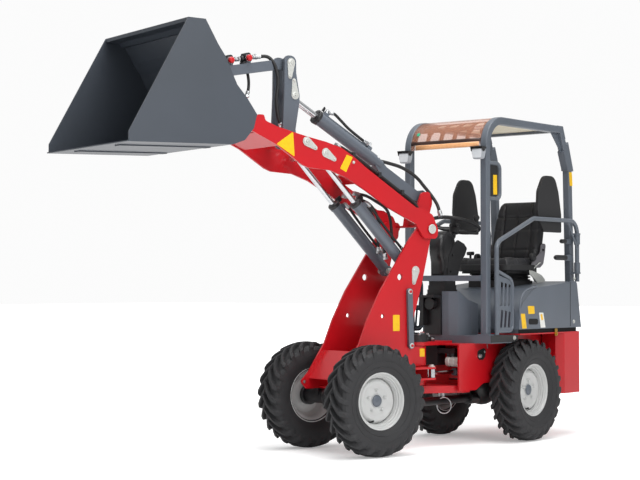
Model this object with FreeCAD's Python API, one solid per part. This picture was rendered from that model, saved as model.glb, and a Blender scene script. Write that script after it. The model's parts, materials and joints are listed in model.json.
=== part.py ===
import FreeCAD, Part
import math
import os

# Compact articulated wheel loader, all sizes in millimetres, +X forward, +Y left, +Z up.
# Two sets of coordinates are used while modelling. The rear machine is drawn with its rear
# axle above x = 0. The front machine is drawn straight, with the articulation pivot at x = 0,
# and is then turned by REST_STEER about the pivot. At the end everything is shifted so that
# the origin lies on the floor under the middle of the bounding box.

V = FreeCAD.Vector

# ---------------------------------------------------------------- machine layout
PIVOT_X = 750.0            # articulation axis ahead of the rear axle
FRONT_AXLE_X = 610.0       # front axle ahead of the articulation axis
TRACK = 700.0              # between the tyre centre planes
REST_STEER = -15.0         # degrees, the front machine stands turned to its right

# ---------------------------------------------------------------- wheels
TYRE_D = 670.0
TYRE_W = 195.0
TYRE_SIDES = 18            # flats of the carcass, drawn as a many-sided ring
LUG_H = 26.0               # tread bars above the carcass
LUG_W = 34.0
LUG_SLANT = 42.0           # how far a bar leans round the tyre over its length
LUG_MIDDLE = 5.0           # the bars start this far from the middle of the tread
LUGS = 18                  # bars on each half of the tread
SHOULDER_DROP = 70.0       # where the sidewall turns into the tread
BEAD_R = 158.0             # where the tyre sits on the rim
RIM_R = 172.0              # rim flange
RIM_W = 130.0
RIM_WALL = 5.0
DISC_T = 8.0
DISC_OUT = 12.0            # wheel disc face outward of the wheel centre plane
HUB_R = 36.0
HUB_CAP = 26.0
NUT_CIRCLE_R = 70.0
NUT_R = 11.0
NUT_H = 12.0
NUTS = 5
BEAD_GAP = 0.3

# ---------------------------------------------------------------- axles
AXLE_R = 48.0
AXLE_FLANGE_R = 62.0
AXLE_FLANGE_T = 30.0
DIFF_R = 115.0
AXLE_PAD_W = 34.0
AXLE_GAP = 0.5             # running gap between the axle end and the wheel disc
SHAFT_Z = 275.0            # cardan shaft under the articulation
SHAFT_R = 27.0
KNUCKLE_GAP = 45.0         # each shaft half stops short of the pivot axis

# ---------------------------------------------------------------- rear chassis
SIDE_CLEAR = 17.5          # between the chassis side plates and the tyres
SIDE_Y = TRACK / 2 - TYRE_W / 2 - SIDE_CLEAR   # outer face of the chassis side plates
SIDE_T = 12.0
CHASSIS_FRONT_X = 615.0
CHASSIS_REAR_X = -560.0
CHASSIS_BOTTOM_Z = 390.0
CHASSIS_NOSE_Z = 350.0
CHASSIS_TOP_Z = 650.0
DECK_Z = 708.0             # top of the red deck under the bonnet
DECK_T = 8.0
DECK_Y = 400.0
DECK_FRONT_X = 150.0
DECK_REAR_X = -710.0
DECK_CORNER_X = -620.0
DECK_CORNER_Y = 330.0
WEIGHT_FRONT_X = -376.0
WEIGHT_BOTTOM_Z = 290.0
WEIGHT_CHAMFER = 45.0
WEIGHT_OVER_SIDE = 15.0    # the weight's inner face stands outside the chassis side plates
WEIGHT_CORE_Y = SIDE_Y + WEIGHT_OVER_SIDE
TOW_REACH = 90.0
TOW_PLATE_T = 12.0
TOW_PIN_BACK = 35.0        # pin ahead of the jaw's rear end
TOW_PIN_R = 12.0

# ---------------------------------------------------------------- articulation
ARM_HALF_Y = 70.0
ARM_R = 70.0
ARM_TOP_Z0 = 641.0         # upper arm of the rear machine
ARM_TOP_T = 24.0
ARM_LOW_Z0 = 338.0
ARM_LOW_T = 46.0
BLOCK_Z0 = 515.0           # bearing block of the front machine, upper
BLOCK_Z1 = 637.0
BLOCK_LOW_Z0 = 388.0       # and lower
BLOCK_LOW_Z1 = 436.0
BLOCK_R = 60.0
PIVOT_PIN_R = 28.0
PIN_FIT = 0.4              # radial clearance of every turning pin
PIVOT_CAP_R = 74.0
PIVOT_CAP_H = 44.0

# ---------------------------------------------------------------- platform and bonnet
PLATFORM_FRONT_X = 440.0
PLATFORM_REAR_X = 158.0
PLATFORM_CUT = 30.0        # its lower rear corners are cut off above the tyres
PLATFORM_Y = 360.0
PLATFORM_DEPTH = 50.0
PLATFORM_T = 5.0
HOOD_Y = 400.0
HOOD_FRONT_X = 160.0
HOOD_REAR_X = -590.0
HOOD_REAR_FOOT_X = -648.0
HOOD_BOTTOM_Z = 736.0
HOOD_FRONT_TOP_X = -28.0
HOOD_FRONT_TOP_Z = 1006.0
HOOD_REAR_TOP_Z = 1055.0
HOOD_SHOULDER_Z = 880.0
HOOD_WALL = 6.0
ENGINE_L = 480.0
ENGINE_W = 380.0
ENGINE_H = 400.0
ENGINE_REAR_X = -520.0
ENGINE_Z0 = 500.0
GRILLE_SLOTS = 9           # air slots in the rear face of the bonnet
GRILLE_W = 440.0
GRILLE_H = 11.0

# ---------------------------------------------------------------- protective frame
ROPS_Y = 300.0             # centre of the side hoops
ROPS_TUBE = 50.0
ROPS_CORNER_R = 8.0
POST_FRONT_X = 404.0
POST_TOP_Z = 1880.0        # where the front bend begins
ROOF_Z = 2100.0            # centre of the roof tubes
ROOF_FRONT_X = 260.0
ROOF_REAR_X = -525.0
REAR_POST_TOP_X = -610.0
REAR_POST_FOOT_X = -655.0
REAR_JOINT_Z = 1830.0
REAR_BAR_Z = 752.0         # low cross member behind the bonnet
CROSSBAR_Z = 1070.0
CROSSBAR_H = 36.0
CROSSBAR_T = 24.0
GRAB_R = 13.0              # grab handle on the left front post
GRAB_REACH = 170.0
GRAB_Z0 = 1586.0
GRAB_Z1 = 1820.0
SHOULDER_T = 18.0          # side plates at the driver's shoulders
ROOF_T = 12.0
ROOF_DROP = 8.0
LAMP_Z0 = 1830.0           # work lamps on the front posts
LAMP_Z1 = 1915.0
LAMP_W = 90.0
LAMP_HOOD = 4.0
VISOR_T = 5.0
VISOR_GAP = 0.5
ROOF_BEND = 175.0          # centre line radius of the front bend
BAR_R = 15.0               # round guard tubes
BAR_SIDES = 12             # flats that stand for their round section
GATE_Y = 362.0
GATE_FRONT_X = 370.0
GUARD_REAR_X = 182.0
GATE_REAR_X = -662.0
GATE_TOP_Z = 1482.0
GATE_SLOPE_X = -85.0       # where the sloping run meets the level rail
GATE_BOTTOM_Z = 706.0
GATE_SHOULDER_Z = 1300.0
HINGE_LOW_Z = 1110.0

# ---------------------------------------------------------------- operator place
COLUMN_Y = -75.0
COLUMN_X = 352.0
COLUMN_L = 120.0
COLUMN_W = 120.0
COLUMN_TOP_Z = 1330.0
WHEEL_X = 198.0
WHEEL_Z = 1428.0
WHEEL_R = 175.0
WHEEL_TUBE_R = 13.0
WHEEL_TILT = 17.0
SEAT_FRONT_X = -20.0
SEAT_REAR_X = -430.0
SEAT_W = 440.0
SEAT_Z0 = 1125.0
SEAT_T = 110.0
BACK_T = 110.0
BACK_TOP_Z = 1620.0
BACK_LEAN = 95.0
SOFT_GAP = 0.3
CONSOLE_FRONT_X = -150.0   # control box on the right of the seat
CONSOLE_REAR_X = -430.0
CONSOLE_OUT_Y = -305.0
CONSOLE_IN_Y = -235.0
CONSOLE_TOP_Z = 1205.0

# ---------------------------------------------------------------- mast (front machine, drawn straight)
MAST_Y = 185.0             # outer face of the mast plates
MAST_T = 15.0
BOOM_PIVOT = (46.0, 1377.0)
LIFT_BASE = (160.0, 1115.0)
TILT_BASE = (-48.0, 1588.0)
MAST_OVER_AXLE = 50.0        # mast floor above the axle line
MAST_FOOT_Z = TYRE_D / 2 + MAST_OVER_AXLE
PROP_TOP = (218.0, 985.0)  # safety prop stored on the left mast plate
PROP_FOOT = (206.0, 650.0)
PROP_W = 19.0              # half its width
PROP_T = 16.0
PROP_OFF = 3.0
PROP_PIN_R = 9.0
MAST_HOLES = ((284.0, 1075.0, 20.0), (420.0, 834.0, 13.0), (186.0, 884.0, 6.0))

# ---------------------------------------------------------------- boom and linkage
BOOM_Y = 205.0             # outer face of the boom plates
BOOM_T = 15.0
LIFT_PIN = (868.0, 1816.0)
LEVER_PIN = (1008.0, 1877.0)
TILT_PIN = (994.0, 2167.0)
LINK_PIN = (1023.0, 2360.0)
HITCH_PIN = (1420.0, 1935.0)
HITCH_TOP_PIN = (1500.0, 2270.0)
PIN_R = 20.0
CAP_T = 8.0
CAP_R = 28.0               # zinc sheets that keep the pins from turning
CAP_TAIL_R = 13.0
CAP_REACH = 74.0
CAP_SHEET = 3.5
LIFT_Y = 110.0
LIFT_BARREL_R = 33.0
LIFT_ROD_R = 17.0
LIFT_BARREL_L = 588.0
TILT_BARREL_R = 40.0
TILT_ROD_R = 20.0
LIFT_OUT = 172.0           # how far the rods move from where they stand
LIFT_IN = 339.0
TILT_OUT = 144.0
TILT_IN = 131.0
ROD_HELD = 26.0            # shortest length of rod kept inside its barrel
ROD_GAP = 0.5
TILT_BARREL_END = 962.0
TILT_NECK = 455.0          # the fork reaches this far ahead of the base pin
TILT_FORK_DROP = 66.0
PIPE_R = 7.0
PORT = 17.0                # half the width of a cylinder's port block
EYE_R = 34.0
EYE_W = 46.0
LEVER_Y = 65.0
LEVER_T = 15.0
LINK_W = 50.0
LINK_H = 60.0
LEVER_TOP = 42.0           # lever plates above the link's pin
COUPLER_R = 17.0           # quick couplers for attachments, on the link
COUPLER_L = 60.0
COUPLER_AT = (272.0, 400.0)   # their distances from the lever's end of the link

# ---------------------------------------------------------------- bucket
BUCKET_W = 950.0
BUCKET_SIDE_T = 8.0
BUCKET_SKIN = 8.0
LIP_T = 16.0
LIP_L = 120.0
LIP_STEP = 6.0
LIP_REACH = 10.0
WEAR_STRIP_T = 6.0
WEAR_STRIP_W = 60.0
WEAR_STRIP_Y = 240.0

# ---------------------------------------------------------------- steering cylinder
STEER_BASE = (200.0, 150.0)
STEER_EYE = (-20.0, 125.0)     # on the front machine
STEER_Z = 468.0
STEER_BARREL_R = 25.0
STEER_ROD_R = 12.0
STEER_BARREL_L = 330.0
STEER_OUT = 59.0
STEER_IN = 117.0


# ================================================================ shape helpers
def box(x0, x1, y0, y1, z0, z1):
    """Block between two corners."""
    return Part.makeBox(x1 - x0, y1 - y0, z1 - z0, V(x0, y0, z0))


def rod(a, b, r):
    """Round bar between two points."""
    a, b = V(*a), V(*b)
    return Part.makeCylinder(r, (b - a).Length, a, b - a)


def outline(points, place):
    """Closed wire through 2-D points (a, b) or (a, b, radius); place turns (a, b) into 3-D."""
    n = len(points)
    edges, first, last = [], None, None
    for i, p in enumerate(points):
        here = V(p[0], p[1], 0)
        r = p[2] if len(p) > 2 else 0.0
        if r > 0:
            q, s = points[i - 1], points[(i + 1) % n]
            da = (V(q[0], q[1], 0) - here)
            db = (V(s[0], s[1], 0) - here)
            da.normalize()
            db.normalize()
            half = math.acos(max(-1.0, min(1.0, da.dot(db)))) / 2
            room = 0.49 * min(math.hypot(q[0] - p[0], q[1] - p[1]), math.hypot(s[0] - p[0], s[1] - p[1]))
            reach = min(r / math.tan(half), room)
            r = reach * math.tan(half)
            mid = da + db
            mid.normalize()
            centre = here + mid * (r / math.sin(half))
            start, stop = here + da * reach, here + db * reach
            top = centre - mid * r
            arc = [start, top, stop]
        else:
            arc = [here]
        if last is not None and (last - arc[0]).Length > 1e-6:
            edges.append(Part.makeLine(place(last), place(arc[0])))
        if first is None:
            first = arc[0]
        if len(arc) == 3:
            edges.append(Part.Arc(*[place(k) for k in arc]).toShape())
        last = arc[-1]
    if (last - first).Length > 1e-6:
        edges.append(Part.makeLine(place(last), place(first)))
    return Part.Wire(edges)


def plate_xz(points, y0, y1):
    """Plate with an outline in X and Z, between two heights in Y."""
    wire = outline(points, lambda p: V(p.x, y0, p.y))
    return Part.Face(wire).extrude(V(0, y1 - y0, 0))


def plate_xy(points, z0, z1):
    wire = outline(points, lambda p: V(p.x, p.y, z0))
    return Part.Face(wire).extrude(V(0, 0, z1 - z0))


def plate_yz(points, x0, x1):
    wire = outline(points, lambda p: V(x0, p.x, p.y))
    return Part.Face(wire).extrude(V(x1 - x0, 0, 0))


def band(points, t):
    """Points of a strip of thickness t laid to the left of an open line of (a, b) points."""
    out = []
    n = len(points)
    for i in range(n):
        dirs = []
        if i > 0:
            d = V(points[i][0] - points[i - 1][0], points[i][1] - points[i - 1][1], 0)
            d.normalize()
            dirs.append(d)
        if i < n - 1:
            d = V(points[i + 1][0] - points[i][0], points[i + 1][1] - points[i][1], 0)
            d.normalize()
            dirs.append(d)
        normals = [V(-d.y, d.x, 0) for d in dirs]
        if len(normals) == 2:
            m = normals[0] + normals[1]
            m.normalize()
            k = t / m.dot(normals[0])
        else:
            m, k = normals[0], t
        p = (points[i][0] + m.x * k, points[i][1] + m.y * k)
        out.append(p)
    return list(points) + out[::-1]


def bent(points, radii, section):
    """Bar along 3-D points with a tangent arc at each inner point; section(p, d) is its face at p facing d."""
    pts = [V(*p) for p in points]
    if not isinstance(radii, (list, tuple)):
        radii = [radii] * (len(pts) - 2)
    pieces, last = [], pts[0]
    for i in range(1, len(pts) - 1):
        da, db = pts[i - 1] - pts[i], pts[i + 1] - pts[i]
        da.normalize()
        db.normalize()
        half = math.acos(max(-1.0, min(1.0, da.dot(db)))) / 2
        reach = radii[i - 1] / math.tan(half)
        mid = da + db
        mid.normalize()
        centre = pts[i] + mid * (radii[i - 1] / math.sin(half))
        a, b = pts[i] + da * reach, pts[i] + db * reach
        if (a - last).Length > 1e-6:
            pieces.append(section(last, a - last).extrude(a - last))
        axis = db.cross(da)
        pieces.append(section(a, da * -1).revolve(centre, axis, 180 - 2 * math.degrees(half)))
        last = b
    pieces.append(section(last, pts[-1] - last).extrude(pts[-1] - last))
    return fuse(pieces)


def many_sided(p, d, r):
    """Face of a bar's section at p facing d, as flats between points on the circle; d is never along Y."""
    side = V(0, 1, 0)
    up = V(d.x, d.y, d.z).cross(side)
    up.normalize()
    turn_by = 2 * math.pi / BAR_SIDES
    ring = [p + side * (r * math.cos(k * turn_by)) + up * (r * math.sin(k * turn_by)) for k in range(BAR_SIDES)]
    return Part.Face(Part.makePolygon(ring + ring[:1]))


def tube(points, r, radii):
    """Bar bent along points, all at one distance Y, with a section of many flats."""
    return bent(points, radii, lambda p, d: many_sided(p, d, r))


def fuse(shapes):
    base = shapes[0]
    return base.fuse(shapes[1:]).removeSplitter() if len(shapes) > 1 else base


def mirror_y(shape):
    return shape.mirror(V(0, 0, 0), V(0, 1, 0))


def both(shape):
    """The shape and its mirror image on the other side."""
    return [shape, mirror_y(shape)]


def teardrop(a, b, ra, rb, y0, y1):
    """Flat drop-shaped cap: a big round end at a and a small one at b."""
    pa, pb = V(a[0], a[1], 0), V(b[0], b[1], 0)
    d = pb - pa
    length = d.Length
    d.normalize()
    n = V(-d.y, d.x, 0)
    s = (ra - rb) / length
    c = math.sqrt(1 - s * s)
    n1, n2 = d * s + n * c, d * s - n * c
    place = lambda p: V(p.x, y0, p.y)
    e1 = Part.makeLine(place(pa + n1 * ra), place(pb + n1 * rb))
    e2 = Part.Arc(place(pb + n1 * rb), place(pb + d * rb), place(pb + n2 * rb)).toShape()
    e3 = Part.makeLine(place(pb + n2 * rb), place(pa + n2 * ra))
    e4 = Part.Arc(place(pa + n2 * ra), place(pa - d * ra), place(pa + n1 * ra)).toShape()
    return Part.Face(Part.Wire([e1, e2, e3, e4])).extrude(V(0, y1 - y0, 0))


def bore_y(p, r, y0, y1):
    """Round hole tool across the machine."""
    return rod((p[0], y0, p[1]), (p[0], y1, p[1]), r)


def along(a, b, t):
    """Point at distance t from a toward b in the X-Z plane."""
    d = math.hypot(b[0] - a[0], b[1] - a[1])
    return (a[0] + (b[0] - a[0]) * t / d, a[1] + (b[1] - a[1]) * t / d)


def turn(p, centre, deg):
    c, s = math.cos(math.radians(deg)), math.sin(math.radians(deg))
    x, z = p[0] - centre[0], p[1] - centre[1]
    return (centre[0] + c * x - s * z, centre[1] + s * x + c * z)


# ================================================================ wheels
def ring_solid(profile, sides):
    """Many-sided ring around the Y axis; profile is a closed list of (radius, y)."""
    at = lambda k, r, y: V(r * math.sin(2 * math.pi * k / sides), y, r * math.cos(2 * math.pi * k / sides))
    faces = []
    for k in range(sides):
        for i, (r0, y0) in enumerate(profile):
            r1, y1 = profile[(i + 1) % len(profile)]
            corners = [at(k, r0, y0), at(k + 1, r0, y0), at(k + 1, r1, y1), at(k, r1, y1)]
            faces.append(Part.Face(Part.makePolygon(corners + corners[:1])))
    return Part.makeSolid(Part.makeShell(faces))


def lug():
    """One tread bar at the top of the tyre, leaning back from the middle to the shoulder."""
    h, r = TYRE_W / 2, TYRE_D / 2
    y0, y1 = LUG_MIDDLE, h - 2
    near, far = (LUG_SLANT - LUG_W) / 2, (LUG_SLANT + LUG_W) / 2
    foot = [(-far, y0), (-near, y0), (far, y1), (near, y1)]
    bar = plate_xy(foot, r - SHOULDER_DROP + 4, math.sqrt(r * r - far * far))
    slope = plate_yz([(h - 26, r + 1), (h + 10, r + 1), (h + 10, r - 60), (h - 1, r - 60)], -200, 200)
    return bar.cut(slope)


def tyre():
    """Tyre around the Y axis at the origin: a many-sided carcass with its tread bars."""
    h, r = TYRE_W / 2, TYRE_D / 2
    rim_h = RIM_W / 2 - RIM_WALL - BEAD_GAP
    out = 1 / math.cos(math.pi / TYRE_SIDES)
    half = [((BEAD_R + BEAD_GAP) * out, rim_h), ((RIM_R + 3) * out, rim_h), (RIM_R + 34, rim_h + 24), (r - SHOULDER_DROP, h),
            (r - LUG_H - 6, h - 22)]
    pts = half + [(a[0], -a[1]) for a in half[::-1]]
    carcass = ring_solid(pts, TYRE_SIDES)
    bars = []
    for side in (1, -1):
        for k in range(LUGS):
            bar = lug() if side > 0 else mirror_y(lug())
            bar.rotate(V(0, 0, 0), V(0, 1, 0), (k + (0.5 if side < 0 else 0)) * 360.0 / LUGS)
            bars.append(bar)
    whole = carcass.fuse(bars).Solids[0]
    # a corner of a bar points straight down, so that the tyre stands on its full radius
    whole.rotate(V(0, 0, 0), V(0, 1, 0), math.degrees(math.asin((LUG_SLANT + LUG_W) / TYRE_D)))
    return whole


def rim():
    """Dished steel wheel with hub cap and nuts."""
    w = RIM_W / 2
    well = BEAD_R - 22
    prof = [(BEAD_R - RIM_WALL, -w + RIM_WALL), (RIM_R, -w + RIM_WALL), (RIM_R, -w),
            (BEAD_R - 2 * RIM_WALL, -w), (BEAD_R - 2 * RIM_WALL, -w + 28), (well - RIM_WALL, -w + 45),
            (well - RIM_WALL, w - 45), (BEAD_R - 2 * RIM_WALL, w - 28), (BEAD_R - 2 * RIM_WALL, w),
            (RIM_R, w), (RIM_R, w - RIM_WALL), (BEAD_R - RIM_WALL, w - RIM_WALL),
            (BEAD_R - RIM_WALL, w - 26), (well, w - 41), (well, -w + 41), (BEAD_R - RIM_WALL, -w + 26)]
    ring = Part.Face(outline(prof, lambda p: V(p.x, p.y, 0))).revolve(V(0, 0, 0), V(0, 1, 0), 360)
    out = DISC_OUT
    disc = [(0.001, out - DISC_T - 12), (100, out - DISC_T - 12), (well - RIM_WALL / 2, out - DISC_T + 14),
            (well - RIM_WALL / 2, out + 14), (100 - 4, out), (HUB_R + 14, out), (HUB_R, out + 6), (0.001, out + 6)]
    disc = [(0, a[1]) if a[0] < 1 else a for a in disc]
    face = Part.Face(outline(disc, lambda p: V(p.x, p.y, 0)))
    middle = face.revolve(V(0, 0, 0), V(0, 1, 0), 360)
    parts = [ring, middle, rod((0, out, 0), (0, out + HUB_CAP, 0), HUB_R)]
    for i in range(NUTS):
        a = math.radians(360.0 / NUTS * i + 90)
        x, z = NUT_CIRCLE_R * math.cos(a), NUT_CIRCLE_R * math.sin(a)
        parts.append(rod((x, out - 4, z), (x, out + NUT_H, z), NUT_R))
    return fuse(parts)


def wheel_set():
    t, r = tyre(), rim()
    out = {}
    for name, x, side, front in (("fl", FRONT_AXLE_X, 1, True), ("fr", FRONT_AXLE_X, -1, True),
                                 ("rl", 0.0, 1, False), ("rr", 0.0, -1, False)):
        for kind, s in (("tyre", t), ("rim", r)):
            s = s.copy()
            if side < 0:
                s = mirror_y(s)
            s.translate(V(x, side * TRACK / 2, TYRE_D / 2))
            out[kind + "_" + name] = (s, front)
    return out


def axle(x, carrier_top, pad_y, way, shaft_end):
    """Axle housing with differential bulge, flanges, mounting pads and its cardan half toward way."""
    z = TYRE_D / 2
    disc_back = TRACK / 2 + DISC_OUT - DISC_T - 12
    end = disc_back - AXLE_GAP
    parts = [rod((x, -end + AXLE_FLANGE_T, z), (x, end - AXLE_FLANGE_T, z), AXLE_R)]
    for s in (-1, 1):
        parts.append(rod((x, s * (end - AXLE_FLANGE_T), z), (x, s * end, z), AXLE_FLANGE_R))
        y = s * pad_y
        parts.append(box(x - 50, x + 50, y - AXLE_PAD_W / 2, y + AXLE_PAD_W / 2, z, carrier_top))
    parts.append(Part.makeSphere(DIFF_R, V(x, 0, z)).common(
        box(x - DIFF_R, x + DIFF_R, -DIFF_R, DIFF_R, z - DIFF_R, carrier_top - 6)))
    parts.append(rod((x + way * 60, 0, SHAFT_Z), (x + way * (DIFF_R + 60), 0, SHAFT_Z), SHAFT_R + 16))
    parts.append(rod((x + way * 60, 0, SHAFT_Z), (shaft_end, 0, SHAFT_Z), SHAFT_R))
    return fuse(parts)


# ================================================================ rear machine
def rear_chassis():
    side = [(CHASSIS_FRONT_X, CHASSIS_NOSE_Z), (CHASSIS_FRONT_X, CHASSIS_TOP_Z),
            (DECK_FRONT_X, CHASSIS_TOP_Z), (DECK_FRONT_X, DECK_Z - DECK_T), (CHASSIS_REAR_X, DECK_Z - DECK_T),
            (CHASSIS_REAR_X, CHASSIS_BOTTOM_Z), (330, CHASSIS_BOTTOM_Z),
            (420, CHASSIS_NOSE_Z)]
    parts = both(plate_xz(side, SIDE_Y - SIDE_T, SIDE_Y))
    inner = SIDE_Y - SIDE_T
    parts.append(box(CHASSIS_REAR_X, CHASSIS_REAR_X + 12, -inner, inner, CHASSIS_BOTTOM_Z, DECK_Z - DECK_T))
    parts.append(box(DECK_FRONT_X - 12, DECK_FRONT_X, -inner, inner, CHASSIS_BOTTOM_Z + 10, DECK_Z - DECK_T))
    deck = [(DECK_FRONT_X, -DECK_Y), (DECK_FRONT_X, DECK_Y), (DECK_CORNER_X, DECK_Y), (DECK_REAR_X, DECK_CORNER_Y),
            (DECK_REAR_X, -DECK_CORNER_Y), (DECK_CORNER_X, -DECK_Y)]
    hatch = box(ENGINE_REAR_X - 15, ENGINE_REAR_X + ENGINE_L + 15, -ENGINE_W / 2 - 15, ENGINE_W / 2 + 15, DECK_Z - 50, DECK_Z + 5)
    parts.append(plate_xy(deck, DECK_Z - DECK_T, DECK_Z).cut(hatch))
    parts.append(box(DECK_FRONT_X - 12, CHASSIS_FRONT_X - 20, -inner, inner, CHASSIS_TOP_Z - 10, CHASSIS_TOP_Z))
    low = [(CHASSIS_FRONT_X - 140, -inner), (CHASSIS_FRONT_X - 60, -inner), (PIVOT_X, -ARM_R, 1.0),
           (PIVOT_X, ARM_R, 1.0), (CHASSIS_FRONT_X - 60, inner), (CHASSIS_FRONT_X - 140, inner)]
    parts.append(plate_xy(low, ARM_LOW_Z0, ARM_LOW_Z0 + ARM_LOW_T))
    parts.append(rod((PIVOT_X, 0, ARM_LOW_Z0), (PIVOT_X, 0, ARM_LOW_Z0 + ARM_LOW_T), ARM_R))
    parts.append(box(PLATFORM_FRONT_X + 10, PIVOT_X, -ARM_HALF_Y, ARM_HALF_Y, ARM_TOP_Z0, ARM_TOP_Z0 + ARM_TOP_T))
    parts.append(rod((PIVOT_X, 0, ARM_TOP_Z0), (PIVOT_X, 0, ARM_TOP_Z0 + ARM_TOP_T), ARM_R))
    wall = box(CHASSIS_FRONT_X - 140, CHASSIS_FRONT_X - 128, -inner, inner, CHASSIS_NOSE_Z, CHASSIS_TOP_Z)
    parts.append(wall.cut(box(0, CHASSIS_FRONT_X, 60, inner - 15, STEER_Z - 55, STEER_Z + 45)))
    for z0, z1 in ((ARM_TOP_Z0 - 50, ARM_TOP_Z0 + ARM_TOP_T), (ARM_LOW_Z0, BLOCK_LOW_Z1 + 20)):
        parts.append(rod((PIVOT_X, 0, z0), (PIVOT_X, 0, z1), PIVOT_PIN_R))
    for x in (ENGINE_REAR_X + 60, ENGINE_REAR_X + ENGINE_L - 100):
        parts.append(box(x, x + 40, -inner, inner, ENGINE_Z0 - 40, ENGINE_Z0))
    for dz in (-34, 34):
        ear = [(STEER_BASE[0] - 40, STEER_BASE[1] - 40), (STEER_BASE[0] + 40, STEER_BASE[1] - 40),
               (STEER_BASE[0] + 40, inner), (STEER_BASE[0] - 40, inner)]
        parts.append(plate_xy(ear, STEER_Z + dz - 6, STEER_Z + dz + 6))
    return fuse(parts)


def counterweight():
    half = [(DECK_REAR_X, DECK_CORNER_Y), (DECK_CORNER_X, DECK_Y), (WEIGHT_FRONT_X - WEIGHT_CHAMFER, DECK_Y),
            (WEIGHT_FRONT_X, DECK_Y - WEIGHT_CHAMFER), (WEIGHT_FRONT_X, WEIGHT_CORE_Y), (CHASSIS_REAR_X, WEIGHT_CORE_Y)]
    pts = half + [(x, -y) for x, y in half[::-1]]
    return plate_xy(pts, WEIGHT_BOTTOM_Z, DECK_Z - DECK_T)


def tow_hitch():
    x1 = DECK_REAR_X
    x2 = x1 - TOW_REACH
    parts = [box(x1 - TOW_PLATE_T, x1, -60, 60, 380, 520)]
    for z in (400, 480):
        pts = [(x1 - 2, -40), (x1 - 2, 40), (x2, 40, 30), (x2, -40, 30)]
        parts.append(plate_xy(pts, z, z + 16))
    x = x2 + TOW_PIN_BACK
    return fuse(parts).cut(rod((x, 0, 395), (x, 0, 500), TOW_PIN_R + 0.5))


def hood():
    outer = [(HOOD_FRONT_X, HOOD_BOTTOM_Z), (HOOD_FRONT_X - 8, HOOD_SHOULDER_Z, 120), (HOOD_FRONT_TOP_X, HOOD_FRONT_TOP_Z, 160),
             (HOOD_REAR_X, HOOD_REAR_TOP_Z, 30), (HOOD_REAR_FOOT_X, HOOD_BOTTOM_Z)]
    w = HOOD_WALL
    inner = [(HOOD_FRONT_X - w, HOOD_BOTTOM_Z - 5), (HOOD_FRONT_X - 8 - w, HOOD_SHOULDER_Z - w / 2, 115),
             (HOOD_FRONT_TOP_X - w / 2, HOOD_FRONT_TOP_Z - w, 155), (HOOD_REAR_X + w, HOOD_REAR_TOP_Z - w, 24),
             (HOOD_REAR_FOOT_X + w, HOOD_BOTTOM_Z - 5)]
    shell = plate_xz(outer, -HOOD_Y, HOOD_Y).cut(plate_xz(inner, -HOOD_Y + w, HOOD_Y - w))
    step = (HOOD_REAR_TOP_Z - HOOD_BOTTOM_Z) / (GRILLE_SLOTS + 5)
    for i in range(GRILLE_SLOTS):
        z = HOOD_BOTTOM_Z + (i + 2.5) * step
        shell = shell.cut(box(HOOD_REAR_FOOT_X - 5, HOOD_REAR_X - 5, -GRILLE_W / 2, GRILLE_W / 2, z, z + GRILLE_H))
    foot = box(HOOD_REAR_FOOT_X + 40, HOOD_FRONT_X - 20, -HOOD_Y + 20, HOOD_Y - 20, DECK_Z, HOOD_BOTTOM_Z + 4)
    hole = box(HOOD_REAR_FOOT_X + 52, HOOD_FRONT_X - 32, -HOOD_Y + 32, HOOD_Y - 32, DECK_Z - 1, HOOD_BOTTOM_Z + 5)
    rim_ = foot.cut(hole)
    ledge = box(HOOD_REAR_FOOT_X + 6, HOOD_FRONT_X - 6, -HOOD_Y + 3, HOOD_Y - 3, HOOD_BOTTOM_Z, HOOD_BOTTOM_Z + 4)
    ledge = ledge.cut(box(HOOD_REAR_FOOT_X + 52, HOOD_FRONT_X - 32, -HOOD_Y + 32, HOOD_Y - 32, 0, 2000))
    return fuse([shell, rim_, ledge])


def engine_block():
    return box(ENGINE_REAR_X, ENGINE_REAR_X + ENGINE_L, -ENGINE_W / 2, ENGINE_W / 2, ENGINE_Z0, ENGINE_Z0 + ENGINE_H)


def platform():
    """Folded pan with edges turned down."""
    z0, z1 = CHASSIS_TOP_Z, CHASSIS_TOP_Z + PLATFORM_DEPTH
    x0, x1, t, c = PLATFORM_REAR_X, PLATFORM_FRONT_X, PLATFORM_T, PLATFORM_CUT
    outer = plate_xz([(x0, z1), (x1, z1), (x1, z0), (x0 + c, z0), (x0, z0 + c)], -PLATFORM_Y, PLATFORM_Y)
    inner = plate_xz([(x0 + t, z1 - t), (x1 - t, z1 - t), (x1 - t, z0 - 1), (x0 + c + 1, z0 - 1), (x0 + t, z0 + c)],
                     -PLATFORM_Y + t, PLATFORM_Y - t)
    return outer.cut(inner)


def footwell_guard():
    """Folded plate in front of the left foot, with its pedal."""
    z0 = CHASSIS_TOP_Z + PLATFORM_DEPTH
    x = PLATFORM_FRONT_X
    line = [(x, -17), (x, 35), (x - 25, 90), (x - 110, 140), (x - 175, 150)]
    strip = plate_xy(band(line, 4), z0, z0 + 285)
    trim = plate_xz([(x - 300, z0 + 160), (x - 90, z0 + 230, 40), (x - 20, z0 + 300), (x - 300, z0 + 400)], -200, 200)
    pedal = plate_xz([(x - 150, z0), (x - 130, z0), (x - 125, z0 + 60), (x - 90, z0 + 95), (x - 96, z0 + 102),
                      (x - 140, z0 + 66)], 45, 110)
    return fuse([strip.cut(trim), pedal])


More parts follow.
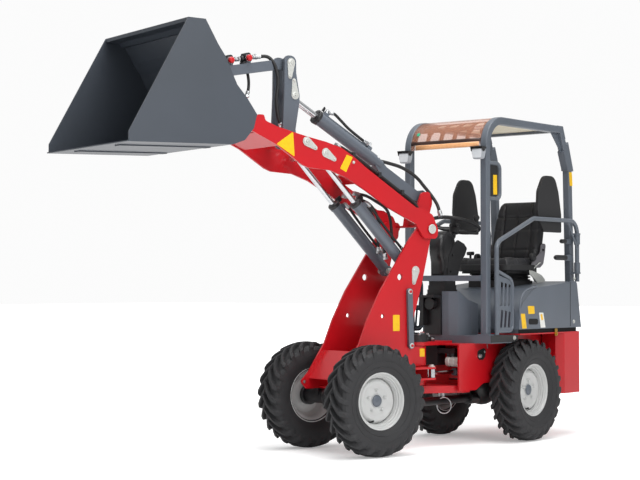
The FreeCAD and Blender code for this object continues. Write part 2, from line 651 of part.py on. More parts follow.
def steering_column():
    z0 = CHASSIS_TOP_Z + PLATFORM_DEPTH
    x0, x1 = COLUMN_X - COLUMN_L / 2, COLUMN_X + COLUMN_L / 2
    y0, y1 = COLUMN_Y - COLUMN_W / 2, COLUMN_Y + COLUMN_W / 2
    base = box(x0, x1, y0, y1, z0, 940)
    boot = fuse([box(x0 - 15 + 4 * i, x1 + 15 - 4 * i, y0 - 15 + 4 * i, y1 + 15 - 4 * i, 940 + 28 * i, 968 + 28 * i)
                 for i in range(4)])
    zt = COLUMN_TOP_Z
    body = [(x1 - 10, 1052), (x1 - 8, zt - 150), (x1 + 2, zt - 115, 30), (x1 + 2, zt + 20, 45), (x1 - 50, zt + 55, 30),
            (x0 + 5, zt + 15, 40), (x0 - 25, zt - 45, 30), (x0 + 4, zt - 125, 30), (x0 + 12, 1052)]
    top = plate_xz(body, y0 + 6, y1 - 6)
    cheek = [(x0 + 16, zt - 41), (x0 - 39, zt - 4, 15), (x0 - 112, zt - 28, 15), (x0 - 148, zt - 58, 12), (x0 - 120, zt - 105),
             (x0 - 74, zt - 151), (x0 - 38, zt - 243), (x0 + 88, zt - 244), (x0 + 70, zt - 118)]
    plate = plate_xz(cheek, y1 - 8, y1)
    for hx, hz in ((x0 + 28, zt - 105), (x0 + 50, zt - 216)):
        plate = plate.cut(bore_y((hx, hz), 8, -300, 300))
    tilt = math.radians(WHEEL_TILT)
    ax, az = -math.sin(tilt), math.cos(tilt)
    at = lambda d: (WHEEL_X - d * ax, COLUMN_Y, WHEEL_Z - d * az)
    shaft = fuse([rod(at(85), at(45), 16), rod((x0 + 12, COLUMN_Y, zt - 70), at(78), 16)])
    return fuse([base, boot, top, plate, shaft])


def wheel_hub_ring():
    """Steering wheel: a ring, three spokes and a hub."""
    profile = []
    for k in range(BAR_SIDES):
        a = 2 * math.pi * k / BAR_SIDES
        profile.append((WHEEL_R - WHEEL_TUBE_R + WHEEL_TUBE_R * math.cos(a), WHEEL_TUBE_R * math.sin(a)))
    ring = Part.Face(outline(profile, lambda p: V(p.x, 0, p.y))).revolve(V(0, 0, 0), V(0, 0, 1), 360)
    hub = Part.makeCylinder(38, 40, V(0, 0, -45))
    parts = [ring, hub]
    for a in (0, 120, 240):
        c, s = math.cos(math.radians(a)), math.sin(math.radians(a))
        parts.append(rod((c * 20, s * 20, -25), (c * (WHEEL_R - WHEEL_TUBE_R), s * (WHEEL_R - WHEEL_TUBE_R), 0), 9))
    knob = Part.makeCylinder(7, 40, V(0, WHEEL_R - WHEEL_TUBE_R, 5))
    knob = fuse([knob, Part.makeSphere(22, V(0, WHEEL_R - WHEEL_TUBE_R, 55))])
    parts.append(knob)
    s = fuse(parts)
    s.rotate(V(0, 0, 0), V(0, 1, 0), -WHEEL_TILT)
    s.translate(V(WHEEL_X, COLUMN_Y, WHEEL_Z))
    return s


def hood_top(x):
    """Height of the bonnet's top at x."""
    k = (HOOD_FRONT_TOP_X - x) / (HOOD_FRONT_TOP_X - HOOD_REAR_X)
    return HOOD_FRONT_TOP_Z + k * (HOOD_REAR_TOP_Z - HOOD_FRONT_TOP_Z)


def seat_console():
    """Box under the operator and the rubber bellows of the sprung base."""
    z0 = HOOD_REAR_TOP_Z + 2
    xa, xb = SEAT_REAR_X + 30, SEAT_FRONT_X - 70
    parts = [plate_xz([(xa, hood_top(xa)), (xb, hood_top(xb)), (xb, z0), (xa, z0)], -160, 160)]
    n = 5
    h = (SEAT_Z0 - 20 - z0) / n
    for i in range(n):
        k = 12 if i % 2 else 0
        parts.append(box(SEAT_REAR_X + 40 + k, SEAT_FRONT_X - 70 - k, -150 + k, 150 - k, z0 + i * h, z0 + (i + 1) * h))
    parts.append(box(SEAT_REAR_X + 20, SEAT_FRONT_X - 20, -180, 180, SEAT_Z0 - 20, SEAT_Z0))
    return fuse(parts)


def seat_cushion():
    return plate_xz([(SEAT_REAR_X + 60, SEAT_Z0 + SOFT_GAP), (SEAT_FRONT_X, SEAT_Z0 + SOFT_GAP, 20),
                     (SEAT_FRONT_X + 20, SEAT_Z0 + SEAT_T, 40), (SEAT_REAR_X + 50, SEAT_Z0 + SEAT_T - 20)], -SEAT_W / 2, SEAT_W / 2)


def seat_back():
    x, z = SEAT_REAR_X + 45, SEAT_Z0 + 30
    h = BACK_TOP_Z - z
    return plate_xz([(x, z), (x - BACK_LEAN, z + h, 40), (x - BACK_LEAN - BACK_T, z + h - 20, 40), (x - BACK_T, z, 20)],
                    -SEAT_W / 2 + 10, SEAT_W / 2 - 10)


def seat_frame():
    """Bracket behind the seat pan that carries the backrest."""
    x1 = SEAT_REAR_X + 20
    return box(x1 - 80, x1, -140, 140, SEAT_Z0 - 14, SEAT_Z0 + 30 - SOFT_GAP)


def side_console():
    """Control box beside the seat pan on the right, with the joystick for boom and bucket."""
    x0, x1, y0, y1, z1 = CONSOLE_REAR_X, CONSOLE_FRONT_X, CONSOLE_OUT_Y, CONSOLE_IN_Y, CONSOLE_TOP_Z
    body = plate_xz([(x0, z1 - 80, 15), (x1 - 40, z1 - 85, 20), (x1, z1 - 30, 15), (x1 - 10, z1, 10), (x0, z1 - 4, 10)], y0, y1)
    bracket = box(x0 + 60, x0 + 190, y1 - 15, -160, SEAT_Z0 - 18, SEAT_Z0 - 2)
    yc = (y0 + y1) / 2
    x = x1 - 130
    stick = rod((x, yc, z1 - 10), (x, yc, z1 + 34), 8)
    grip = plate_xz([(x - 22, z1 + 30, 8), (x + 20, z1 + 30, 8), (x + 26, z1 + 52, 10), (x - 26, z1 + 58, 12)], yc - 17, yc + 17)
    return fuse([body, bracket, stick, grip])


def square_tube(points, radii, y):
    """Rounded square tube bent in the X-Z plane at side distance y."""
    h, r = ROPS_TUBE / 2, ROPS_CORNER_R

    def section(p, d):
        n = V(d.z, 0, -d.x)
        n.normalize()
        corners = [(-h, -h, r), (h, -h, r), (h, h, r), (-h, h, r)]
        return Part.Face(outline(corners, lambda q: p + n * q.x + V(0, 1, 0) * q.y))

    return bent([(p[0], y, p[1]) for p in points], radii, section)


def rear_post_x(z):
    """Centre of the rear post at a height."""
    k = (REAR_JOINT_Z - z) / (REAR_JOINT_Z - DECK_Z)
    return REAR_POST_TOP_X - 28 + k * (REAR_POST_FOOT_X - 20 - REAR_POST_TOP_X + 28)


def rops_upper():
    z0 = CHASSIS_TOP_Z + PLATFORM_DEPTH
    h = ROPS_TUBE / 2
    hoop = square_tube([(POST_FRONT_X, z0), (POST_FRONT_X, ROOF_Z), (ROOF_REAR_X, ROOF_Z), (REAR_POST_TOP_X, REAR_JOINT_Z + 60)],
                       [ROOF_BEND, 30], ROPS_Y)
    x = REAR_POST_TOP_X
    flare = plate_xz([(x + 60, REAR_JOINT_Z + 120), (x + 9, REAR_JOINT_Z), (x - 70, REAR_JOINT_Z), (x - 2, REAR_JOINT_Z + 190)],
                     ROPS_Y - h, ROPS_Y + h)
    gusset = plate_xz([(ROOF_REAR_X + 110, ROOF_Z - h + 2), (ROOF_REAR_X + 10, ROOF_Z - h + 2), (x + 48, REAR_JOINT_Z + 100),
                       (ROOF_REAR_X + 2, ROOF_Z - 130, 60)], ROPS_Y - 3, ROPS_Y + 3)
    foot = box(POST_FRONT_X - 45, PLATFORM_FRONT_X - 2, ROPS_Y - 45, ROPS_Y + 45, z0, z0 + 10)
    back = POST_FRONT_X - GRAB_REACH
    loop = tube([(POST_FRONT_X, ROPS_Y, GRAB_Z1), (back, ROPS_Y, GRAB_Z1), (back, ROPS_Y, GRAB_Z0), (POST_FRONT_X, ROPS_Y, GRAB_Z0)],
                GRAB_R, 40)
    # the rear corner is mitred, so a strip with a sharp outer corner covers the bend
    top = ROOF_Z + h
    lean = (REAR_POST_TOP_X - ROOF_REAR_X) / (REAR_JOINT_Z + 60 - ROOF_Z)
    shift = h * math.hypot(1, lean)
    at = lambda z: ROOF_REAR_X - shift + (z - ROOF_Z) * lean
    mitre = plate_xz(band([(ROOF_REAR_X + 60, top), (at(top), top), (at(ROOF_Z - 60), ROOF_Z - 60)], 2 * h - 10),
                     ROPS_Y - h, ROPS_Y + h)
    parts = both(fuse([hoop, mitre, flare, gusset, foot])) + [loop]
    y = ROPS_Y - h + 5
    for px, pz in ((ROOF_REAR_X + 30, ROOF_Z),):
        parts.append(box(px - 20, px + 20, -y, y, pz - 20, pz + 20))
    cx, cz = bend_centre()
    for s in (-1, 1):
        tab = box(cx - 50, cx - 4, min(s * y, s * (y - 50)), max(s * y, s * (y - 50)), ROOF_Z - ROOF_T / 2 - 8, ROOF_Z - ROOF_T / 2)
        parts.append(tab)
    px = POST_FRONT_X + h
    parts.append(box(px - 10, px - 10 + CROSSBAR_T, -y, y, CROSSBAR_Z - CROSSBAR_H / 2, CROSSBAR_Z + CROSSBAR_H / 2))
    return fuse(parts)


def rops_lower():
    h = ROPS_TUBE / 2
    post = square_tube([(rear_post_x(DECK_Z), DECK_Z + 5), (rear_post_x(REAR_JOINT_Z - 10), REAR_JOINT_Z - 5)], [], ROPS_Y)
    x = rear_post_x(DECK_Z)
    foot = box(x - 30, x + 30, ROPS_Y - 30, ROPS_Y + 25, DECK_Z, DECK_Z + 10)
    xj = rear_post_x(REAR_JOINT_Z)
    head = box(xj - 42, xj + 38, ROPS_Y - h, ROPS_Y + h, REAR_JOINT_Z - 10, REAR_JOINT_Z)
    parts = both(fuse([post, foot, head]))
    xr = rear_post_x(REAR_BAR_Z)
    parts.append(box(xr - 18, xr + 16, -ROPS_Y, ROPS_Y, REAR_BAR_Z - 20, REAR_BAR_Z + 20))
    # hinge rings that carry the side guard on the left
    for z in (HINGE_LOW_Z, GATE_TOP_Z - 102):
        px = rear_post_x(z)
        ring = plate_xy([(px - 20, ROPS_Y), (px + 20, ROPS_Y), (GATE_REAR_X + 24, GATE_Y + 24, 22), (GATE_REAR_X - 24, GATE_Y + 24, 22)],
                        z - 6, z + 6)
        parts.append(ring.cut(rod((GATE_REAR_X, GATE_Y, z - 7), (GATE_REAR_X, GATE_Y, z + 7), BAR_R + PIN_FIT)))
    return fuse(parts)


def bend_centre():
    return POST_FRONT_X - ROOF_BEND, ROOF_Z - ROOF_BEND


def arc_band(r0, r1, a0, a1, y):
    """Curved sheet about the centre of the front bend."""
    cx, cz = bend_centre()
    at = lambda r, a: V(cx + r * math.cos(math.radians(a)), -y, cz + r * math.sin(math.radians(a)))
    m = (a0 + a1) / 2
    wire = Part.Wire([Part.Arc(at(r0, a0), at(r0, m), at(r0, a1)).toShape(), Part.makeLine(at(r0, a1), at(r1, a1)),
                      Part.Arc(at(r1, a1), at(r1, m), at(r1, a0)).toShape(), Part.makeLine(at(r1, a0), at(r0, a0))])
    return Part.Face(wire).extrude(V(0, 2 * y, 0))


def roof_panel():
    """Roof skin between the hoops; its front edge bends down and has five windows."""
    y = ROPS_Y - ROPS_TUBE / 2 - VISOR_GAP
    x0, x1 = ROOF_REAR_X + 52, POST_FRONT_X - ROOF_BEND
    z, h = ROOF_Z, ROOF_T / 2
    flat = box(x0, x1, -y, y, z - h, z + h)
    body = fuse([flat, arc_band(ROOF_BEND - h, ROOF_BEND + h, 28, 90, y)])
    cx, cz = bend_centre()
    n = 5
    pitch = 2 * (y - 20) / n
    for i in range(n):
        yc = -y + 20 + pitch * (i + 0.5)
        w = pitch / 2 - 9
        tool = box(cx + 60, cx + 300, yc - w, yc + w, -45, 45)
        tool.translate(V(0, 0, cz))
        tool = tool.makeFillet(14, [e for e in tool.Edges if abs(e.tangentAt(e.FirstParameter).x) > 0.99])
        tool.rotate(V(cx, 0, cz), V(0, 1, 0), -56)
        body = body.cut(tool)
    return body


def visor():
    """Curved smoked shield over the front edge of the roof."""
    y = ROPS_Y - ROPS_TUBE / 2 - VISOR_GAP
    r = ROOF_BEND + ROPS_TUBE / 2 - 8
    return arc_band(r, r + VISOR_T, -14, 96, y)


def side_bar(y):
    """Bent guard tube of one side, from the foot of the front run to the foot of the rear run."""
    return [(GATE_FRONT_X, y, GATE_BOTTOM_Z), (GATE_FRONT_X, y, GATE_SHOULDER_Z), (GATE_SLOPE_X, y, GATE_TOP_Z - 12),
            (GATE_REAR_X, y, GATE_TOP_Z - 12), (GATE_REAR_X, y, 1050)]


def gate_tube():
    bar = tube(side_bar(GATE_Y), BAR_R, [70, 80, 90])
    low = tube([(GATE_FRONT_X, GATE_Y, GATE_BOTTOM_Z + 20), (GUARD_REAR_X, GATE_Y, GATE_BOTTOM_Z + 20), (GUARD_REAR_X, GATE_Y, 1060),
                (GATE_FRONT_X, GATE_Y, 1120)], 11, [40, 60])
    brace = tube([(GATE_REAR_X + 130, GATE_Y, GATE_TOP_Z - 12), (GATE_REAR_X, GATE_Y, 1280)], 8, [])
    return fuse([bar, low, brace])


def slotted(y):
    """Guard panel between the tubes, with two rows of slanted slots."""
    x0, x1 = GUARD_REAR_X, GATE_FRONT_X
    plate = plate_xz([(x0 + 5, GATE_BOTTOM_Z + 25), (x1 - 8, GATE_BOTTOM_Z + 25), (x1 - 8, 1095), (x0 + 5, 1050)],
                     y - 2, y + 2)
    tools = []
    for i in range(3):
        for z0, z1 in ((GATE_BOTTOM_Z + 45, 868), (890, 1046)):
            x = x0 + 22 + i * 46
            tools.append(plate_xz([(x + 12, z0), (x + 38, z0), (x + 24, z1 - 12 + i * 6), (x - 2, z1 - 18 + i * 6)], y - 5, y + 5))
    for t in tools:
        plate = plate.cut(t)
    return plate


def shoulder_plate():
    """Side plate inside the rail at the height of the driver's shoulder, its lower end below the rail."""
    z, y1 = GATE_TOP_Z - 12, GATE_Y - BAR_R
    pts = [(-475, z - 85, 12), (-245, z - 85, 12), (-180, z, 30), (-165, z + 60), (-175, z + 190, 60), (-245, z + 298, 80), (-390, z + 298, 80),
           (-440, z + 190, 60), (-475, z + 40)]
    return plate_xz(pts, y1 - SHOULDER_T, y1)


def right_guard():
    bar = tube(side_bar(-GATE_Y), BAR_R, [70, 80, 90])
    low = tube([(GATE_FRONT_X, -GATE_Y, GATE_BOTTOM_Z + 20), (GUARD_REAR_X, -GATE_Y, GATE_BOTTOM_Z + 20), (GUARD_REAR_X, -GATE_Y, 1060),
                (GATE_FRONT_X, -GATE_Y, 1120)], 11, [40, 60])
    parts = [bar, low]
    for z in (HINGE_LOW_Z, GATE_TOP_Z - 102):
        parts.append(box(GATE_REAR_X - 20, GATE_REAR_X + 20, -GATE_Y, -ROPS_Y - ROPS_TUBE / 2, z - 6, z + 6))
    parts.append(box(GATE_FRONT_X - 12, GATE_FRONT_X + 30, -GATE_Y, -ROPS_Y - ROPS_TUBE / 2, 1180, 1200))
    return fuse(parts)


def lamps():
    """Work lamps: a bracket on the post, a tapered housing and a thin hood over the glass."""
    out = []
    x = POST_FRONT_X + ROPS_TUBE / 2
    z0, z1 = LAMP_Z0, LAMP_Z1
    mid = (z0 + z1) / 2
    for s in (-1, 1):
        y = s * (ROPS_Y - 10)
        w = LAMP_W / 2
        arm = box(x, x + 20, y - 12, y + 12, mid - 8, mid + 8)
        body = plate_xz([(x + 15, mid - 20), (x + 30, z0), (x + 60, z0 + 6), (x + 60, z1 - 6), (x + 30, z1 - 6), (x + 15, mid + 20)],
                        y - w + LAMP_HOOD, y + w - LAMP_HOOD)
        cover = box(x + 26, x + 72, y - w, y + w, z1 - 6, z1)
        cheek = plate_xz([(x + 26, z1), (x + 72, z1), (x + 60, z0 + 30), (x + 34, z0 + 30)], y - w, y - w + LAMP_HOOD)
        other = cheek.copy()
        other.translate(V(0, LAMP_W - LAMP_HOOD, 0))
        out.append(fuse([arm, body, cover, cheek, other]))
    return out


def hydraulic_block():
    """Valve and filter group in the nose of the rear machine."""
    x0 = CHASSIS_FRONT_X - 128
    body = box(x0, x0 + 90, -120, 40, STEER_Z + 40, CHASSIS_TOP_Z - 12)
    can = rod((x0 + 45, 130, STEER_Z + 34), (x0 + 45, 130, STEER_Z + 120), 38)
    head = box(x0, x0 + 85, 40, 172, STEER_Z + 118, STEER_Z + 150)
    return fuse([body, can, head])


def front_console():
    """Bracket, gauge and pipe group between the column and the articulation."""
    z0 = CHASSIS_TOP_Z + PLATFORM_DEPTH
    x = PLATFORM_FRONT_X
    return fuse([box(x - 8, x + 12, -150, -20, z0, 960), box(x - 8, x + 95, -150, -20, 945, 960),
                 box(x + 12, x + 60, -150, -125, z0 + 60, 945), rod((x + 12, -84, 904), (x + 50, -84, 904), 38)])


def pivot_cap():
    z = ARM_TOP_Z0 + ARM_TOP_T
    return fuse([rod((PIVOT_X, 0, z), (PIVOT_X, 0, z + PIVOT_CAP_H), PIVOT_CAP_R),
                 box(PIVOT_X - 130, PIVOT_X, -50, 50, z, z + 30)])


# ================================================================ front machine, drawn straight
def mast():
    plate_pts = [(36, 1319), (106, 1045), (146, 913), (180, 809), (186, 687), (186, MAST_FOOT_Z), (740, MAST_FOOT_Z, 15),
                 (781, 430, 15), (721, 491), (601, 666), (538, 812), (441, 984), (286, 1201), (203, 1316), (156, 1369),
                 (116, 1430, 30), (-24, 1430, 30)]
    side = plate_xz(plate_pts, MAST_Y - MAST_T, MAST_Y)
    parts = both(side)
    inner = MAST_Y - MAST_T
    parts.append(box(186, 198, -inner, inner, MAST_FOOT_Z, 760))
    back = plate_xz([(106, 1045), (146, 913), (158, 917), (118, 1049)], -inner, inner)
    parts.append(back)
    floor = box(186, 640, -inner, inner, MAST_FOOT_Z, MAST_FOOT_Z + 12)
    parts.append(floor)
    # bearing blocks around the articulation axis
    for z0, z1 in ((BLOCK_Z0, BLOCK_Z1), (BLOCK_LOW_Z0, BLOCK_LOW_Z1)):
        parts.append(fuse([box(0, 188, -BLOCK_R, BLOCK_R, z0, z1), rod((0, 0, z0), (0, 0, z1), BLOCK_R)]))
    # ears that carry the tilt cylinder above the boom pivot
    ex, ez = TILT_BASE
    ear = plate_xz([(-30, 1400), (60, 1400), (ex + 78, ez - 28, 30), (ex + 56, ez + 26, 25), (ex + 6, ez + 34, 30), (ex - 29, ez + 14, 22),
                    (ex - 29, ez - 45, 30)], 50, 65)
    parts += both(ear)
    bridge = plate_xz([(-30, 1395), (30, 1395), (30, 1407), (-30, 1407)], -inner, inner)
    parts.append(bridge)
    # ears for the steering cylinder's rod
    for dz in (-34, 34):
        pts = [(190, 60), (190, 165), (STEER_EYE[0] - 26, STEER_EYE[1] + 26, 24), (STEER_EYE[0] - 26, STEER_EYE[1] - 26, 24), (0, 40)]
        parts.append(plate_xy(pts, STEER_Z + dz - 6, STEER_Z + dz + 6))
    body = fuse(parts)
    body = body.cut(rod((0, 0, 300), (0, 0, 700), PIVOT_PIN_R + PIN_FIT))
    # pins: boom pivot stubs, lift cylinder base, tilt cylinder base
    body = body.cut(bore_y((754, 428), 13, -300, 300))
    for x, z, r in MAST_HOLES:
        body = body.cut(bore_y((x, z), r, -300, 300))
    return body


def mast_pins():
    out = []
    y = MAST_Y - MAST_T
    out.append(rod((LIFT_BASE[0], -y, LIFT_BASE[1]), (LIFT_BASE[0], y, LIFT_BASE[1]), PIN_R))
    out.append(rod((TILT_BASE[0], -50, TILT_BASE[1]), (TILT_BASE[0], 50, TILT_BASE[1]), PIN_R))
    return out


def mast_caps():
    tail = (LIFT_BASE[0] + 14, LIFT_BASE[1] - CAP_REACH)
    return both(teardrop(LIFT_BASE, tail, CAP_R + 1, CAP_TAIL_R, MAST_Y, MAST_Y + CAP_SHEET))


def safety_prop():
    """Flat bar on two pins on the outside of the left mast plate, swung up to block the boom for service."""
    y0, y1 = MAST_Y + PROP_OFF, MAST_Y + PROP_OFF + PROP_T
    (xa, za), (xb, zb) = PROP_TOP, PROP_FOOT
    w = PROP_W
    bar = plate_xz([(xa - w, za + w, w - 1), (xb - w, zb - w, w - 1), (xb + w, zb - w, w - 1), (xa + w, za + w, w - 1)], y0, y1)
    return fuse([bar, rod((xa, MAST_Y, za), (xa, y1 + 6, za), PROP_PIN_R), rod((xb, MAST_Y, zb), (xb, y1 + 6, zb), PROP_PIN_R)])


def front_cover():
    inner = MAST_Y - MAST_T
    return plate_xz(band([(722, 450), (600, 620)], 8), -inner, inner)


# ================================================================ boom
def boom():
    lobe = 55.0
    px, pz = BOOM_PIVOT
    pts = [(px - lobe, pz, 40), (px - 10, pz + 90, 30), (116, 1505, 20), (169, 1509), (302, 1587), (433, 1664), (561, 1740),
           (662, 1806), (750, 1852), (862, 1881), (1008, 1907), (1103, 1927), (1222, 1954), (1300, 1982, 20),
           (1312, 2016, 12), (1352, 2016, 12), (1368, 1990, 15), (1445, 1975, 35), (1478, 1905, 35), (1400, 1920, 30), (1222, 1846),
           (1043, 1738, 20), (995, 1721, 30), (836, 1713), (712, 1673), (561, 1598), (394, 1502), (170, 1406),
           (px + 60, pz - 60, 50), (px - 50, pz - 60, 50)]
    side = plate_xz(pts, BOOM_Y - BOOM_T, BOOM_Y)
    parts = both(side)
    inner = BOOM_Y - BOOM_T
    parts.append(plate_xz(band([(445, 1667), (525, 1715)], -10), -inner, inner))
    parts.append(plate_xz(band([(1200, 1842), (1358, 1910)], 10), -inner, inner))
    parts.append(rod((LEVER_PIN[0], -inner, LEVER_PIN[1]), (LEVER_PIN[0], inner, LEVER_PIN[1]), PIN_R))
    body = fuse(parts)
    body = body.cut(bore_y(BOOM_PIVOT, PIN_R + PIN_FIT, -300, 300))
    body = body.cut(bore_y(HITCH_PIN, PIN_R + PIN_FIT, -300, 300))
    return body


def boom_pivot_pins():
    """Stub pins that hold the boom lobes on the mast."""
    x, z = BOOM_PIVOT
    return both(rod((x, MAST_Y, z), (x, BOOM_Y + CAP_T, z), PIN_R))


def boom_caps():
    out = []
    for x, z in (LEVER_PIN, LIFT_PIN):
        out += both(teardrop((x, z), (x - CAP_REACH * 0.87, z - CAP_REACH * 0.49), CAP_R, CAP_TAIL_R, BOOM_Y, BOOM_Y + CAP_SHEET))
    return out


def tilt_lever():
    x0, z0 = LEVER_PIN
    (tx, tz), (lx, lz) = TILT_PIN, LINK_PIN
    pts = [(x0 - 38, z0 - 30, 34), (x0 + 38, z0 - 30, 34), (x0 + 74, z0 + 83), (tx + 78, tz), (lx + 47, lz - 20, 20),
           (lx + 45, lz + LEVER_TOP, 38), (lx - 37, lz + LEVER_TOP, 38), (lx - 38, lz - 60), (tx - 34, tz), (tx - 32, tz - 47),
           (x0 - 18, z0 + 83)]
    parts = both(plate_xz(pts, LEVER_Y - LEVER_T, LEVER_Y))
    parts.append(rod((x0, -LEVER_Y, z0), (x0, LEVER_Y, z0), 32))
    parts.append(box(x0 + 48, x0 + 58, -LEVER_Y + LEVER_T / 2, LEVER_Y - LEVER_T / 2, z0 + 8, z0 + 68))
    body = fuse(parts)
    return body.cut(bore_y(LEVER_PIN, PIN_R + PIN_FIT, -300, 300))


def lever_caps():
    out = []
    for (x, z), up in ((LINK_PIN, -1), (TILT_PIN, 1)):
        reach = CAP_REACH + 12
        out += both(teardrop((x, z), (x + 8, z + up * reach), CAP_R - 1, CAP_TAIL_R, LEVER_Y, LEVER_Y + CAP_SHEET))
    return out


def tilt_link():
    a, b = LINK_PIN, HITCH_TOP_PIN
    n = LINK_W / 2
    h = LINK_H / 2
    d = math.hypot(b[0] - a[0], b[1] - a[1])
    bar = box(0, d, -n, n, -h, h)
    parts = [bar, rod((0, -n, 0), (0, n, 0), h + 4), rod((d, -n, 0), (d, n, 0), h + 4)]
    # quick couplers for attachments, lying along the link on a small saddle each
    for x in COUPLER_AT:
        parts.append(box(x - 14, x + 18, -n + 4, n - 4, h - 2, h + 10))
        z = h + 10 + COUPLER_R + 6
        parts.append(box(x - 16, x + 16, -n + 2, n - 2, h + 8, z + COUPLER_R + 6))
        parts.append(rod((x - COUPLER_L / 2 - 8, 0, z), (x + COUPLER_L / 2, 0, z), COUPLER_R - 4))
        parts.append(rod((x, n - 4, z - 4), (x, n + 12, z - 4), COUPLER_R))
    body = fuse(parts)
    body = body.cut(fuse([bore_y((0, 0), PIN_R + PIN_FIT, -100, 100)])).cut(bore_y((d, 0), PIN_R + PIN_FIT, -100, 100))
    body.rotate(V(0, 0, 0), V(0, 1, 0), math.degrees(-math.atan2(b[1] - a[1], b[0] - a[0])))
    body.translate(V(a[0], 0, a[1]))
    return body


def link_pin():
    return rod((LINK_PIN[0], -LEVER_Y + LEVER_T, LINK_PIN[1]), (LINK_PIN[0], LEVER_Y - LEVER_T, LINK_PIN[1]), PIN_R)


# ================================================================ bucket and hitch
BUCKET = [(1987, 2481), (1877, 2481), (1796, 2350), (1747, 2285), (1671, 2135), (1605, 2066), (1539, 1978),
          (1560, 1900), (1620, 1830), (1697, 1802), (2352, 1784)]


def bucket():
    w, t = BUCKET_W / 2, BUCKET_SKIN
    side = BUCKET + [(2352, 1784 + 53)]
    parts = both(plate_xz(side, w - BUCKET_SIDE_T, w))
    skin = band(BUCKET[1:], t)
    parts.append(plate_xz(skin, -w + BUCKET_SIDE_T, w - BUCKET_SIDE_T))
    rail = [(1987, 2481), (1877, 2481), (1850, 2437), (1880, 2437), (1905, 2460), (1987, 2460)]
    parts.append(plate_xz(rail, -w + BUCKET_SIDE_T, w - BUCKET_SIDE_T))
    x, z = BUCKET[-1]
    lip = [(x - LIP_L, z + 3.2), (x + LIP_REACH, z), (x + LIP_REACH, z + LIP_STEP), (x - LIP_L + 40, z + LIP_T + 3)]
    parts.append(plate_xz(lip, -w, w))
    for s in (-1, 1):
        y = s * WEAR_STRIP_Y
        strip = plate_xz(band([(BUCKET[-2][0] + 20, BUCKET[-2][1]), (x - 60, z + 1.5)], -WEAR_STRIP_T),
                         y - WEAR_STRIP_W / 2, y + WEAR_STRIP_W / 2)
        parts.append(strip)
    return fuse(parts)


def hitch():
    """Quick hitch between the boom, the link and the bucket."""
    kx, kz = HITCH_PIN
    tx, tz = HITCH_TOP_PIN
    back = [BUCKET[k] for k in (6, 5, 4, 3)]
    low = along(BUCKET[6], BUCKET[7], 35)
    outer = [(kx - 36, kz, 30), (kx, kz - 40, 30), (kx + 50, kz - 38), low] + back + [
        (1690, 2330), (1640, 2330, 20), (1560, 2200, 60), (1480, 2080, 30), (1450, 2000)]
    inner = [(1470, 2000), (1500, 1960)] + [low] + back + [
        (1690, 2330), (tx + 30, tz + 40, 30), (tx - 36, tz + 40, 30), (tx - 40, tz - 34, 30)]
    parts = both(plate_xz(outer, 165, 180)) + both(plate_xz(inner, 45, 60))
    parts.append(rod((1560, -180, 2050), (1560, 180, 2050), 24))
    parts.append(rod((1660, -180, 2240), (1660, 180, 2240), 20))
    parts += both(rod((kx, 160, kz), (kx, BOOM_Y + CAP_T, kz), PIN_R))
    parts += both(rod((tx, 45, tz), (tx, 66, tz), PIN_R))
    return fuse(parts)


# ================================================================ cylinders
def yoke(neck, r):
    """Solid fork that carries a barrel ahead of its base pin, hanging a little below the axis."""
    w = EYE_W / 2
    drop = -TILT_FORK_DROP
    side = [(-EYE_R, EYE_R, EYE_R - 1), (-EYE_R, -EYE_R, EYE_R - 1), (85, drop - 2, 30), (neck - 100, drop + 4, 20),
            (neck - 20, -r + 8), (neck - 20, r - 12), (neck - 100, 8, 20), (60, 6, 20), (EYE_R, EYE_R, 20)]
    return fuse([plate_xz(side, -w, w), rod((neck - 60, 0, 0), (neck + 5, 0, 0), r - 7)])


def oil_pipe(start, end, r):
    """Pipe along a barrel between its two port blocks, all above the axis."""
    z = r + PIPE_R - 1
    parts = [rod((start, 0, z), (end, 0, z), PIPE_R)]
    for x in (start, end):
        parts.append(box(x - PORT, x + PORT, -PORT, PORT, r - 10, r + 2 * PIPE_R + 3))
    return fuse(parts)


def cylinder_pair(a, b, barrel_l, barrel_r, rod_r, out_stroke, in_stroke, neck=0.0):
    """Barrel and rod between pin a and pin b in the X-Z plane, in the middle plane."""
    d = math.hypot(b[0] - a[0], b[1] - a[1])
    ang = math.degrees(-math.atan2(b[1] - a[1], b[0] - a[0]))
    w = EYE_W / 2
    eye = rod((0, -w, 0), (0, w, 0), EYE_R)
    back = yoke(neck, barrel_r) if neck else eye
    tail = neck if neck else EYE_R - 8
    barrel = fuse([back, rod((tail, 0, 0), (barrel_l, 0, 0), barrel_r), rod((barrel_l - 30, 0, 0), (barrel_l, 0, 0), barrel_r + 4),
                   oil_pipe(tail + 70, barrel_l - 55, barrel_r)])
    barrel = barrel.cut(bore_y((0, 0), PIN_R + PIN_FIT, -100, 100))
    start = barrel_l - out_stroke - ROD_HELD
    barrel = barrel.cut(rod((start - in_stroke - 5, 0, 0), (barrel_l + 5, 0, 0), rod_r + ROD_GAP))
    tip = fuse([rod((start, 0, 0), (d - EYE_R + 8, 0, 0), rod_r), rod((d, -w, 0), (d, w, 0), EYE_R)])
    tip = tip.cut(bore_y((d, 0), PIN_R + PIN_FIT, -100, 100))
    for s in (barrel, tip):
        s.rotate(V(0, 0, 0), V(0, 1, 0), ang)
        s.translate(V(a[0], 0, a[1]))
    return barrel, tip


def lift_cylinders():
    barrel, tip = cylinder_pair(LIFT_BASE, LIFT_PIN, LIFT_BARREL_L, LIFT_BARREL_R, LIFT_ROD_R, LIFT_OUT, LIFT_IN)
    out = []
    for s in (barrel, tip):
        pair = []
        for side in (-1, 1):
            c = s.copy()
            c.translate(V(0, side * LIFT_Y, 0))
            pair.append(c)
        out.append(pair)
    return out


def tilt_cylinder():
    return cylinder_pair(TILT_BASE, TILT_PIN, TILT_BARREL_END, TILT_BARREL_R, TILT_ROD_R, TILT_OUT, TILT_IN, TILT_NECK)


